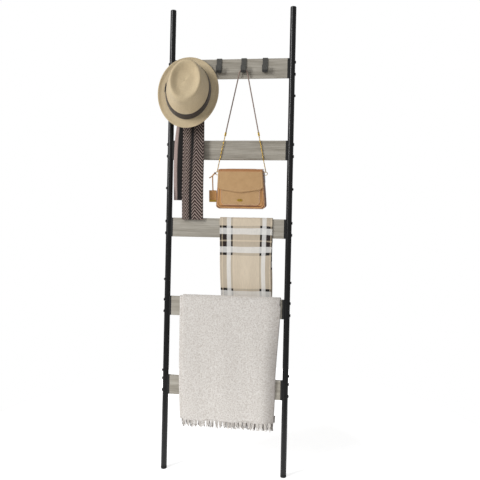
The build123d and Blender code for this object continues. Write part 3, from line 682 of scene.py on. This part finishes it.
def makeHerringbone():
    # up the rear leg, across the trough of hook 1 and down the front leg; the folds draw together towards the hook
    troughY, troughZ = rack["trough"]
    hookX = woolCut["hookX"]
    rearGap, frontGap = 0.0046, 0.0155
    rearMid, frontMid = sum(woolCut["rearX"]) / 2, sum(woolCut["frontX"]) / 2
    rearLow = nearRung(2, -rack["rungHalf"], rearGap)[0]
    frontEdge = nearRung(3, rack["rungHalf"], 0.0068)
    corners = [
        (rearMid, rearLow, woolCut["rearHem"]), (rearMid, rearLow, 1.08),
        (rearMid + 0.002, *nearRung(2, -0.036, rearGap)),
        (rearMid + 0.004, *nearRung(2, 0.036, rearGap)), (rearMid + 0.010, troughY - 0.009, 1.36),
        (hookX - 0.019, troughY - 0.002, 1.44), (hookX - 0.016, troughY, troughZ + 0.001),
        (hookX + 0.016, troughY, troughZ + 0.001), (hookX + 0.019, troughY - 0.004, 1.44),
        (frontMid - 0.004, troughY - 0.016, 1.36), (frontMid, *nearRung(2, 0.036, frontGap)),
        (frontMid, *nearRung(2, -0.036, frontGap)), (frontMid, frontEdge[0] + 0.004, 1.03), (frontMid, *frontEdge),
        (frontMid, frontEdge[0] - 0.001, woolCut["frontHem"]),
    ]
    path, marks = bent(corners, woolCut["step"])
    tangent = unit(np.gradient(path, axis=0))
    front = np.array([0.0, -1.0, 0.0]) - tangent * -tangent[:, 1:2]
    front = unit(front)
    side = np.cross(front, tangent)
    top = marks[np.argmax(path[:, 2])]
    away = np.abs(marks - top)
    rear = marks < top
    full = np.where(rear, woolCut["halfRear"], woolCut["halfFront"])
    opened = smooth(0.02, np.where(rear, 0.30, 0.20), away)
    halfWidth = woolCut["bunch"] + (full - woolCut["bunch"]) * opened
    reach, across, layer = leafSection(woolCut["leaf"], woolCut["gap"], woolCut["step"], woolCut["flaps"])
    gap = np.where(rear, 0.0013 + 0.0012 * (1 - opened), 0.0021 + 0.0008 * (1 - opened))
    outerFlaps = (layer > 1.5)[None, :] * ~rear[:, None]
    fallen = smooth(0.1, 0.5, away)[:, None]
    across = across - outerFlaps * (0.05 + 0.10 * fallen) * np.sin(np.clip(across, 0, 1) * math.pi)
    groove = 0.545 - (0.05 + 0.10 * fallen)
    dip = 0.0034 * np.exp(-((across - groove) / 0.09) ** 2) * outerFlaps * opened[:, None]
    x = (across - 0.5) * 2
    swell = 0.0012 * np.sin(x * 5 + marks[:, None] * 30) * (1 - opened[:, None])
    depth = layer * gap[:, None] + swell - dip + 0.0003 * softNoise((len(marks), len(layer)), (70, 50), 9)
    turned = smooth(-0.03, 0.03, marks - top)[:, None] * 2 - 1
    sideways, lift = x * halfWidth[:, None], depth * turned + 0.0004
    points = path[:, None] + side[:, None] * sideways[..., None] + front[:, None] * lift[..., None]
    piece = surface("herringboneCloth", points, grid(reach[None, :], -marks[:, None]))
    shade = np.zeros((len(marks), len(layer), 4))
    shade[..., 0] = rear[:, None]
    shade[..., 1] = rear[:, None] * (layer < -0.3) * (across > 0.84)
    # painted shadow in the groove between the outer flaps of the front leg
    cleft = 1.5 * np.exp(-((across - groove) / (0.105 - 0.045 * fallen)) ** 2) * (layer > 0.5)[None, :]
    # painted shade over the flap beyond the groove, fading lower down the leg; none of this shadow falls on the rear
    # leg
    farSide = 0.42 * smooth(0.0, 0.08, across - groove) * (1 - 0.8 * fallen)
    shade[..., 2] = np.clip(np.where(rear[:, None], 0.0, np.maximum(cleft, farSide)), 0, 1)
    shade[..., 3] = 1.0
    attribute = piece.data.color_attributes.new("side", "FLOAT_COLOR", "POINT")
    attribute.data.foreach_set("color", shade.ravel())
    thicken(piece, woolCut["thickness"])
    finishPiece(piece, "herringbone_scarf", "herringbone_wool", stands=["herringbone_scarf"])
    return piece, marks[-1]


herringboneCloth, woolLength = makeHerringbone()
print("herringbone scarf", round(woolLength, 3))


# ---- hat ----
hatCut = {
    "rise": math.radians(19), "turn": math.radians(7.5), "tilt": math.radians(6), "base": (0.0835, 0.1075),
    "brim": (0.112, 0.140), "felt": 0.0022, "hangDepth": 0.005, "hangHeight": 0.0988, "shift": 0.0015,
    "crown": [(1.0, 0.0), (0.86, 0.060), (0.745, 0.093), (0.685, 0.1145), (0.625, 0.1195), (0.55, 0.1178),
              (0.40, 0.1110), (0.2, 0.1092), (0.01, 0.109)],
    "bandLow": 0.002, "bandHigh": 0.030,
    "stretch": 0.07, "droop": 0.004,  # of the crown's top, along the hat
}


def hatFrame():
    # centre, width, length and crown directions of the hat: it hangs by its sweatband on the tongue of hook 1
    rise, turn, tilt = hatCut["rise"], hatCut["turn"], hatCut["tilt"]
    crownWay = np.array([math.sin(turn) * math.cos(rise), -math.cos(turn) * math.cos(rise), math.sin(rise)])
    levelX = np.array([math.cos(turn), math.sin(turn), 0.0])
    levelY = np.cross(crownWay, levelX)
    wide = levelX * math.cos(tilt) - levelY * math.sin(tilt)
    long = levelY * math.cos(tilt) + levelX * math.sin(tilt)
    tongue = np.array([-0.147, *rackPoint(-0.02655, 1.502)])
    centre = tongue - crownWay * hatCut["hangDepth"] - long * hatCut["hangHeight"] + wide * hatCut["shift"]
    return centre, wide, long, crownWay


hatCentre, hatWide, hatLong, hatUp = hatFrame()


def onHat(halfWide, halfLong, height, angle):
    # centre + wide a cos angle + long b sin angle + crown direction h
    across, along = (halfWide * np.cos(angle))[..., None], (halfLong * np.sin(angle))[..., None]
    return hatCentre + hatWide * across + hatLong * along + hatUp * (height + 0 * angle)[..., None]


def crownScale(height):
    return np.interp(height, [0, 0.060, 0.100, 0.114, 0.120], [1.0, 0.86, 0.74, 0.66, 0.5])


def makeHat():
    # rows run from the brim's edge in to the crown, up its side, over the crest and down into the dish
    columns = 144
    angle = np.linspace(0, tau, columns, endpoint=False)[None, :]
    brimShare = np.linspace(0, 1, 16)[:-1]
    crown, _ = bent(hatCut["crown"], 0.014)
    dense = np.linspace(0, len(crown) - 1, 64)
    crown = np.stack([np.interp(dense, np.arange(len(crown)), column) for column in crown.T], 1)
    wide, long = (np.concatenate([brim + (base - brim) * brimShare, base * crown[:, 0]])
                  for brim, base in zip(hatCut["brim"], hatCut["base"]))
    onBrim, offBrim = np.zeros(len(brimShare)), np.ones(len(brimShare))
    flat = np.concatenate([onBrim, crown[:, 1]])[:, None]
    outer = np.concatenate([1 - brimShare, np.zeros(len(crown))])[:, None]
    inDish = smooth(0.66, 0.30, np.concatenate([offBrim, crown[:, 0]]))[:, None]
    onCrown = np.concatenate([onBrim, smooth(0.07, 0.115, crown[:, 1])])[:, None]
    reach = np.concatenate([[0], np.cumsum(np.hypot(np.diff(wide), np.diff(flat[:, 0])))])
    long = long[:, None] * (1 - 0.035 * outer * smooth(0.2, 1.0, np.sin(angle)))
    roll = 0.0045 * smooth(0.35, 1.0, outer) ** 2 * (0.7 + 0.3 * np.cos(2 * angle + 0.6))
    roll = roll - 0.0012 * outer * np.cos(2 * angle)
    dish = -0.004 * inDish * (0.5 + 0.5 * np.cos(angle - 2.3))
    crest = 0.0014 * onCrown * (1 - inDish) * np.cos(2 * angle - 1.2)
    sway = 1 + 0.006 * np.cos(3 * angle + 1) * onCrown
    long = long * sway * (1 + hatCut["stretch"] * onCrown)
    points = onHat(wide[:, None] * sway, long, flat + roll + dish + crest, angle + 0 * wide[:, None])
    points = points - hatLong * (hatCut["droop"] * onCrown * smooth(0.0, 0.3, inDish + onCrown))[..., None]
    uv = grid(np.linspace(0, tau * 0.09, columns + 1)[None, :], reach[:, None])
    body = thicken(surface("hatStraw", points, uv, (False, True)), hatCut["felt"], -1.0)
    return finishPiece(body, "hat", "hat_felt", stands=["hat_body"])


def hatStrip(name, low, high, lift, puff, slotName, thickness, stands):
    # a band round the crown between two heights, lifted off it, a little fuller in its middle
    columns = 144
    angle = np.linspace(0, tau, columns, endpoint=False)[None, :]
    height = np.linspace(low, high, 9)[:, None]
    off = lift + puff * np.sin(np.linspace(0, math.pi, 9))[:, None]
    scale = crownScale(height)
    halfWide, halfLong = (base * scale + off + 0 * angle for base in hatCut["base"])
    points = onHat(halfWide, halfLong, height, angle + 0 * height)
    uv = grid(np.linspace(0, tau * 0.096, columns + 1)[None, :], height)
    strip = thicken(surface(name, points, uv, (False, True)), thickness, 1.0)
    return finishPiece(strip, "hat", slotName, stands=stands)


def makeBow():
    # two flat loops and a wrap: an oval section carried along the bow, pinched at the middle
    slope = math.atan((hatCut["base"][0] * (1 - crownScale(0.030))) / 0.030)
    normal = -hatWide * math.cos(slope) + hatUp * math.sin(slope)
    rise = np.cross(normal, hatLong)
    rise = rise * np.sign(rise @ hatUp)
    root = hatCentre + hatUp * 0.016 - hatWide * (hatCut["base"][0] * crownScale(0.016)) + normal * 0.0030
    around = np.linspace(0, tau, 28, endpoint=False)[None, :]

    def ribbonPiece(name, halfLength, along, half, thick, power, stands):
        # half and thick along the bow, swept round a flattened oval
        up = half * np.sign(np.cos(around)) * np.abs(np.cos(around)) ** power
        rings = (root + hatLong * (halfLength * along + 0 * around)[..., None] + rise * up[..., None]
                 + normal * (thick * np.sin(around))[..., None])
        spots = grid(np.linspace(0, 0.03, 29)[None, :], halfLength * along)
        return tube(name, rings[:, ::-1], "hat", "hat_ribbon", None, stands, spots)

    along = np.linspace(-1, 1, 41)[:, None]
    half = 0.0105 * (0.66 + 0.34 * np.abs(along) ** 0.7) * np.sqrt(np.clip(1 - along ** 10, 0.04, 1))
    thick = 0.0006 + 0.0013 * np.sin(np.abs(along) * math.pi) ** 0.7
    ribbonPiece("hatBow", 0.017, along, half, thick, 0.6, ["hat_bow"])
    along = np.linspace(-1, 1, 9)[:, None]
    half, thick = 0.0108 * (1 - 0.04 * along ** 2), 0.0024 * (1 - 0.12 * along ** 4)
    ribbonPiece("hatBowWrap", 0.0042, along, half, thick, 0.5, ())


makeHat()
hatStrip("hatRibbon", hatCut["bandLow"], hatCut["bandHigh"], 0.0003, 0.0003, "hat_ribbon", 0.0008, ["hat_band"])
makeBow()
print("hat")

# ---- shoulder bag ----
bagCut = {
    "x": 0.0465, "y": 0.160, "base": 0.970, "halfDepth": 0.025, "height": 0.138, "halfBase": 0.090, "halfTop": 0.081,
    "corner": 0.010, "wall": 0.0022, "pocket": (0.072, 0.012, 0.088), "pocketThick": 0.0018,
    "pocketCorner": 0.015, "panel": (0.0014, 0.1365, 0.014), "flapThick": 0.0024, "flapGap": 0.0004, "flapHalf": 0.084,
    "flapEdge": [(-0.084, 0.079), (-0.070, 0.070), (0.0, 0.060), (0.070, 0.070), (0.084, 0.079)],
}
bagFront = bagCut["y"] - bagCut["halfDepth"]
bagRear = bagCut["y"] + bagCut["halfDepth"]


def bagHalf(height):
    # half width at a height: a straight taper, drawn in round the lower corners
    straight = bagCut["halfBase"] + (bagCut["halfTop"] - bagCut["halfBase"]) * height / bagCut["height"]
    corner = bagCut["corner"]
    low = np.clip(corner - height, 0, corner)
    return straight - corner + np.sqrt(corner ** 2 - low ** 2)


def makeBagBody():
    # each row is a rounded rectangle at one height; under it the rows draw in to close the base
    tall = bagCut["height"]
    heights = np.concatenate([np.zeros(6), tall * np.linspace(0, 1, 60) ** 1.5])
    deep = np.concatenate([np.linspace(0.02, 0.86, 6), 1 - 0.14 * (1 - smooth(0, 0.004, heights[6:]))])
    side = np.linspace(0, tau, 160, endpoint=False)[None, :]
    power = 0.12
    cosine, sine = np.cos(side), np.sin(side)
    x = bagHalf(heights)[:, None] * np.sign(cosine) * np.abs(cosine) ** power
    y = bagCut["halfDepth"] * deep[:, None] * np.sign(sine) * np.abs(sine) ** power
    swell = np.sin(np.clip(heights / tall, 0, 1) * math.pi)[:, None] * (1 - (y / bagCut["halfDepth"]) ** 2)
    x = x + np.sign(x) * (0.0030 * swell + 0.0028 * (1 - heights[:, None] / tall))
    points = grid(bagCut["x"] + x, bagCut["y"] + y, bagCut["base"] + heights[:, None])
    body = thicken(surface("bagShell", points, closed=(False, True)), bagCut["wall"], -1.0)
    return finishPiece(body, "bag", "tan_leather", gussetLeather, ["bag_body"])


def panel(name, halfWidth, low, high, corner, origin, thick, puff, body, slotName, material=None, stands=(),
          step=0.0015, topRound=False, facing=-1):
    # a sewn leather panel off a plane: thickness x a rounded rim, plus a bead, less the stitch groove, plus a puff
    rows, columns = int((high - low) / step), int(2 * halfWidth(low + corner) / step)
    q = np.linspace(0, 1, rows)[:, None]
    p = np.linspace(-1, 1, columns)[None, :]
    h = low + (high - low) * q
    fromLow = np.clip(corner - (h - low), 0, corner)
    cut = corner - np.sqrt(corner ** 2 - fromLow ** 2)
    if topRound:
        fromHigh = np.clip(corner - (high - h), 0, corner)
        cut = cut + corner - np.sqrt(corner ** 2 - fromHigh ** 2)
    half = halfWidth(h) - cut
    x = half * p
    toSide, toLow, toHigh = half - np.abs(x), h - low, high - h
    cornerX = np.abs(x) - (halfWidth(h) - corner)
    inCorner = (cornerX > 0) & (h - low < corner)
    toCorner = corner - np.hypot(np.clip(cornerX, 0, None), np.clip(corner - (h - low), 0, None))
    toEdge = np.minimum(np.minimum(toSide, toLow), toHigh if topRound else toLow + 1)
    edge = np.clip(np.where(inCorner, toCorner, toEdge), 0, None)
    rim = smooth(-0.0004, 0.0016, edge)
    bead = 0.0004 * np.exp(-((edge - 0.0022) / 0.0010) ** 2)
    groove = 0.0005 * np.exp(-((edge - 0.0062) / 0.0009) ** 2)
    out = thick * rim + bead - groove + puff * smooth(0.006, 0.03, edge)
    points = grid(origin[0] + x, origin[1] + facing * out, origin[2] + h)
    made = surface(name, points if facing < 0 else points[:, ::-1])
    thicken(made, 0.0010, -1.0)
    return finishPiece(made, body, slotName, material, stands)


def carried(line, section, normalWay):
    # a closed section (across, up) carried along a line; across = normalWay x tangent
    tangent = unit(np.gradient(line, axis=0))
    up = unit(normalWay - tangent * np.sum(tangent * normalWay, axis=1, keepdims=True))
    across = np.cross(tangent, up)
    if section.ndim == 2:
        section = np.broadcast_to(section, (len(line), *section.shape))
    return line[:, None] + across[:, None] * section[..., :1] + up[:, None] * section[..., 1:]


def oval(halfAcross, halfUp, count, power=1.0):
    around = np.linspace(0, tau, count, endpoint=False)
    c, s = np.cos(around), np.sin(around)
    return np.stack([halfAcross * np.sign(c) * np.abs(c) ** power, halfUp * np.sign(s) * np.abs(s) ** power], 1)


def stitches(name, line, away, body, pitch=0.0042, length=0.0030, radius=0.00045):
    # one small thread loop every pitch along a line, its ends dipping into the hide
    path, _ = evenly(line, pitch)
    tangent = unit(np.gradient(path, axis=0))
    across = np.cross(tangent, away)
    share = np.linspace(-1, 1, 5)[None, :, None]
    around = np.linspace(0, tau, 6, endpoint=False)[None, None, :]
    size = radius * np.sqrt(np.clip(1 - share ** 4, 0.05, 1))
    dip = -radius * 1.2 * share ** 2 + radius * 0.5
    spots = (path[:, None, None] + tangent[:, None, None] * (share * length / 2 + 0 * around)[..., None]
             + across[:, None, None] * (size * np.cos(around))[..., None]
             + np.asarray(away) * (size * np.sin(around) + dip)[..., None])
    return tube(name, spots, body, "strap_leather", threadCotton)


def makeFlap():
    # from the rear edge over the top and down the front to a shallow V; each column is as long as its own drop
    top = bagCut["base"] + bagCut["height"] + bagCut["flapGap"] + bagCut["flapThick"] / 2
    front = bagFront - 0.002 - bagCut["flapGap"] - bagCut["flapThick"] / 2
    corners = [(bagRear + 0.0004, top - 0.0005), (bagRear - 0.01, top), (front + 0.012, top + 0.0003),
               (front, top), (front, top - 0.01), (front, top - 0.05), (front, top - 0.1)]
    path, marks = bent(corners, 0.001)
    p = np.linspace(-1, 1, 171)[None, :]
    edgeX, edgeH = np.array(bagCut["flapEdge"]).T
    lowest = np.interp(p * bagCut["flapHalf"], edgeX, edgeH)
    kernel = np.hanning(9) / np.hanning(9).sum()
    lowest = np.convolve(np.pad(lowest[0], 4, "edge"), kernel, "valid")[None, :]
    frontMark = np.interp(-(top - 0.01), -path[marks > 0.04, 1], marks[marks > 0.04])
    total = frontMark + (top - 0.01 - bagCut["base"] - lowest)
    q = np.linspace(0, 1, 111)[:, None]
    reach = q * total
    y, z = np.interp(reach, marks, path[:, 0]), np.interp(reach, marks, path[:, 1])
    half = bagHalf(np.clip(z - bagCut["base"], 0.06, 0.138)) - 0.0008
    x = p * half
    edge = np.minimum(half - np.abs(x), (total - reach) * 0.96)
    shape = 0.0004 * np.exp(-((edge - 0.0022) / 0.0010) ** 2) - 0.0005 * np.exp(-((edge - 0.0065) / 0.0009) ** 2)
    shape = shape + 0.0009 * smooth(0.008, 0.04, edge) - 0.0008 * (1 - smooth(0, 0.0014, edge))
    normal = outward(path)
    ny, nz = np.interp(reach, marks, normal[:, 0]), np.interp(reach, marks, normal[:, 1])
    off = shape + bagCut["flapThick"] / 2
    points = np.stack([bagCut["x"] + x, y + ny * off, z + nz * off], -1)
    flap = thicken(surface("bagFlapLeather", points), bagCut["flapThick"], -1.0)
    finishPiece(flap, "bag_flap", "tan_leather", stands=["bag_flap"])
    outside = front - bagCut["flapThick"] / 2
    edgeP = np.linspace(-1, 1, 90)
    edgeLine = np.interp(edgeP * bagCut["flapHalf"], edgeX, edgeH)
    edgeHigh = np.convolve(np.pad(edgeLine, 4, "edge"), kernel, "valid") + 0.0008
    line = grid(bagCut["x"] + edgeP * (bagHalf(edgeHigh) - 0.0016), outside + 0.0004, bagCut["base"] + edgeHigh)
    tube("bagFlapCord", carried(line, edgeCord, awayFront), "bag_flap", "tan_leather", edgeLeather)
    inset = 0.0065
    half = bagCut["flapHalf"]
    seamP = np.concatenate([np.full(40, -1.0), np.linspace(-1, 1, 80), np.full(40, 1.0)])
    seamLow = np.interp(np.linspace(-half, half, 80), edgeX, edgeH) + inset
    seamH = np.concatenate([np.linspace(0.134, 0.086, 40), seamLow, np.linspace(0.086, 0.134, 40)])
    line = grid(bagCut["x"] + seamP * (bagHalf(seamH) - inset), outside + 0.0002, bagCut["base"] + seamH)
    return stitches("bagFlapStitches", line, awayFront, "bag_flap")


def pocketLine(inset, lift):
    # down the pocket's right side, round its lower corners and up the left, at an inset from its edge
    half, low, high = bagCut["pocket"]
    corner = bagCut["pocketCorner"] - inset
    turn = np.linspace(0, math.pi / 2, 12)
    bend = half - inset - corner
    side = np.linspace(high - 0.003, low + bagCut["pocketCorner"], 20)
    x = np.concatenate([[half - inset] * 20, bend + corner * np.cos(turn), -bend - corner * np.sin(turn),
                        [inset - half] * 20])
    h = np.concatenate([side, low + inset + corner - corner * np.sin(turn),
                        low + inset + corner - corner * np.cos(turn), side[::-1]])
    return grid(bagCut["x"] + x, bagFront - bagCut["pocketThick"] + lift, bagCut["base"] + h)


def makeBag():
    makeBagBody()
    half, low, high = bagCut["pocket"]
    x, base = bagCut["x"], bagCut["base"]
    panel("bagFrontPanel", lambda h: bagHalf(h) - 0.0018, *bagCut["panel"], (x, bagFront + 0.0006, base), 0.0006,
          0.0, "bag", "tan_leather", bodyLeather)
    panel("bagBackPanel", lambda h: bagHalf(h) - 0.0018, *bagCut["panel"], (x, bagRear - 0.0006, base), 0.0010,
          0.0008, "bag", "tan_leather", facing=1)
    panel("bagPocketPanel", lambda h: half + 0 * h, low, high, bagCut["pocketCorner"], (x, bagFront, base),
          bagCut["pocketThick"], 0.0, "bag", "tan_leather", stands=["bag_pocket"])
    stitches("bagPocketStitches", pocketLine(0.0062, 0.0002), awayFront, "bag")
    line, _ = evenly(pocketLine(0.0008, 0.0), 0.0015)
    tube("bagPocketCord", carried(line, edgeCord, awayFront), "bag", "tan_leather", edgeLeather)
    # piping round the front and rear seams: a round cord carried along the outline
    lowTurn = 0.014 - 0.014 * np.sin(np.linspace(0, math.pi / 2, 20))
    outlineH = np.concatenate([np.linspace(0.137, 0.0145, 60), lowTurn])
    outlineX = bagHalf(outlineH)
    outlineX, outlineH = np.concatenate([-outlineX, outlineX[::-1]]), np.concatenate([outlineH, outlineH[::-1]])
    for name, y in (("bagFrontPiping", bagFront + 0.0008), ("bagRearPiping", bagRear - 0.0008)):
        line, _ = evenly(grid(x + outlineX, y, base + outlineH), 0.003)
        tube(name, carried(line, oval(0.0011, 0.0011, 10), -awayFront), "bag", "tan_leather", edgeLeather)
    makeFlap()


edgeCord = oval(0.0011, 0.0008, 10)
awayFront = np.array([0.0, -1.0, 0.0])
makeBag()

# ---- the bag's chains, strap and tag ----
slingCut = {
    "hookX": 0.0478, "halfCrossing": 0.0125, "ringX": 0.090322, "ringTop": 1.1047, "restZ": 1.13981,
    "buckleZ": 1.240, "halfBuckle": 0.0065, "strap": 0.0045, "pitch": 0.0062, "link": (0.0047, 0.0022, 0.0009),
}


def legPoint(side, z):
    # a point of one leg at a height: straight in x from the hook to the ring, in y plumb below the rung's edge
    z = np.asarray(z, float)
    troughY, troughZ = rack["trough"]
    topX = slingCut["hookX"] + side * slingCut["halfCrossing"]
    footX = bagCut["x"] + side * slingCut["ringX"]
    x = topX + (footX - topX) * (troughZ - z) / (troughZ - slingCut["ringTop"])
    y = bagCut["y"] + (troughY - bagCut["y"]) * np.clip(z - slingCut["restZ"], 0, None) / (troughZ - slingCut["restZ"])
    return grid(x, y, z)


def makeChain(side, sideName):
    # oval links, each turned a quarter from the last: ring of wire = link oval + wire x (cos, sin)
    line, _ = evenly(legPoint(side, np.linspace(1.1046, slingCut["buckleZ"] - 0.0060, 60)), slingCut["pitch"])
    tangent = unit(np.gradient(line, axis=0))[:, None, None]
    first = unit(np.cross(tangent, np.array([0.0, 1.0, 0.0])))
    second = np.cross(tangent, first)
    quarter = (np.arange(len(line)) % 2 * math.pi / 2 + math.pi / 4)[:, None, None, None]
    across = first * np.cos(quarter) + second * np.sin(quarter)
    other = np.cross(tangent, across)
    halfLong, halfWide, wire = slingCut["link"]
    turn = np.linspace(0, tau, 14, endpoint=False)[None, :, None, None]
    roundWire = np.linspace(0, tau, 6, endpoint=False)[None, None, :, None]
    centre = tangent * (halfLong - wire) * np.cos(turn) + across * (halfWide - wire) * np.sin(turn)
    outside = unit(tangent * np.cos(turn) * 0.6 + across * np.sin(turn))
    points = line[:, None, None] + centre + wire * (outside * np.cos(roundWire) + other * np.sin(roundWire))
    links = surface("bagChainLinks" + sideName.title(), points, None, (True, True))
    return finishPiece(links, "bag", "gold_metal", stands=["bag_chain_" + sideName])


def makeStrap():
    # a taut leather cord from buckle to buckle over the hook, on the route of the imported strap
    high = slingCut["buckleZ"] + slingCut["halfBuckle"]
    troughZ = rack["trough"][1]
    route = [legPoint(-1, high), legPoint(-1, troughZ - 0.027), legPoint(-1, troughZ), legPoint(1, troughZ),
             legPoint(1, troughZ - 0.027), legPoint(1, high)]
    curve = bpy.data.curves.new("bagStrapLeather", "CURVE")
    curve.dimensions = "3D"
    spline = curve.splines.new("NURBS")
    spline.points.add(len(route) - 1)
    for point, place in zip(spline.points, route):
        point.co = (*place, 1)
    spline.order_u = 3
    spline.use_endpoint_u = True
    spline.resolution_u = 32
    curve.bevel_depth = slingCut["strap"] / 2
    curve.bevel_resolution = 4
    curve.use_fill_caps = True
    curve.materials.append(finishes["strap_leather"])
    strap = bpy.data.objects.new("bagStrapLeather", curve)
    scene.collection.objects.link(strap)
    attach(strap, "bag")
    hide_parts("bag_strap")
    return strap


for side, sideName in ((-1, "left"), (1, "right")):
    makeChain(side, sideName)
makeStrap()

tagCut = {"x": -0.0605, "top": 1.034, "half": 0.0145, "height": 0.044, "middleY": 0.1571, "halfThick": 0.0013}


def makeTag():
    # a flat strap from the knot to the tag, the knot, its short tail, and the tag's two sewn faces
    ringX, ringZ = bagCut["x"] - slingCut["ringX"], bagCut["base"] + 0.127
    knotX = ringX - 0.0099
    y = bagCut["y"]
    line, _ = bent([(knotX + 0.0022, y - 0.0022, ringZ), (knotX - 0.001, y - 0.0022, ringZ - 0.0015),
                    (knotX - 0.008, y - 0.001, ringZ - 0.007), (tagCut["x"] - 0.0012, y, 1.078),
                    (tagCut["x"] - 0.001, y, 1.052), (tagCut["x"], y, tagCut["top"] - 0.006)], 0.002)
    band = carried(line, oval(0.0022, 0.0008, 16, 0.5), awayFront)
    tube("bagTagBand", band, "bag_tag", "strap_leather", tagLeather, ["bag_tag_strap"])
    base = (tagCut["x"], tagCut["middleY"], tagCut["top"] - tagCut["height"])
    for name, facing, stands in (("bagTagFront", -1, ["bag_tag"]), ("bagTagBack", 1, ())):
        panel(name, lambda h: tagCut["half"] + 0 * h, 0.0, tagCut["height"], 0.002, base, tagCut["halfThick"], 0.0,
              "bag_tag", "tan_leather", tagLeather, stands, 0.0008, True, facing)
    turns = np.linspace(0, 2.4 * tau, 90)
    coil = grid(knotX + 0.001 + np.linspace(-0.0026, 0.0026, 90), y + 0.0026 * np.cos(turns),
                ringZ + 0.0030 * np.sin(turns))
    knot = carried(coil, oval(0.0011, 0.0009, 10), np.array([1.0, 0.0, 0.0]))
    tube("bagTagKnot", knot, "bag_tag", "strap_leather", knotLeather)
    tail, _ = bent([(knotX, y - 0.002, ringZ - 0.002), (knotX - 0.004, y - 0.0030, ringZ - 0.006),
                    (knotX - 0.012, y - 0.0034, ringZ - 0.013), (knotX - 0.020, y - 0.003, ringZ - 0.0175)], 0.0015)
    tube("bagTagTail", carried(tail, oval(0.0021, 0.0007, 16, 0.5), awayFront), "bag_tag", "strap_leather", tagLeather)


makeTag()
print("bag")

# ---- floor ----
def makeFloor(radius):
    # a pale disc, brighter towards its edge
    around = np.linspace(0, tau, 64, endpoint=False)
    reach = np.array([0.001, radius])[:, None]
    floor = surface("floor", grid(reach * np.cos(around), reach * np.sin(around), 0.0), closed=(False, True))
    material, tree, shader = newMaterial("paleFloor", grey(0.86), 0.85)
    speckle = ramp(tree, noise(tree, objectPlace(tree), 3.0), [(0.0, grey(0.85)), (1.0, grey(0.88))])
    tree.links.new(speckle, shader.inputs["Base Color"])
    shader.inputs["Emission Color"].default_value = grey(1.0)
    spot = add(tree, "SeparateXYZ", {0: objectPlace(tree)}, 0).node.outputs
    squares = [maths(tree, "POWER", spot[axis], 2.0) for axis in (0, 1)]
    away = maths(tree, "SQRT", maths(tree, "ADD", *squares))
    tree.links.new(ramp(tree, away, [(0.6, grey(0.58)), (1.0, grey(1.0))]), shader.inputs["Emission Strength"])
    floor.data.materials.append(material)
    return floor


makeFloor(1.15)
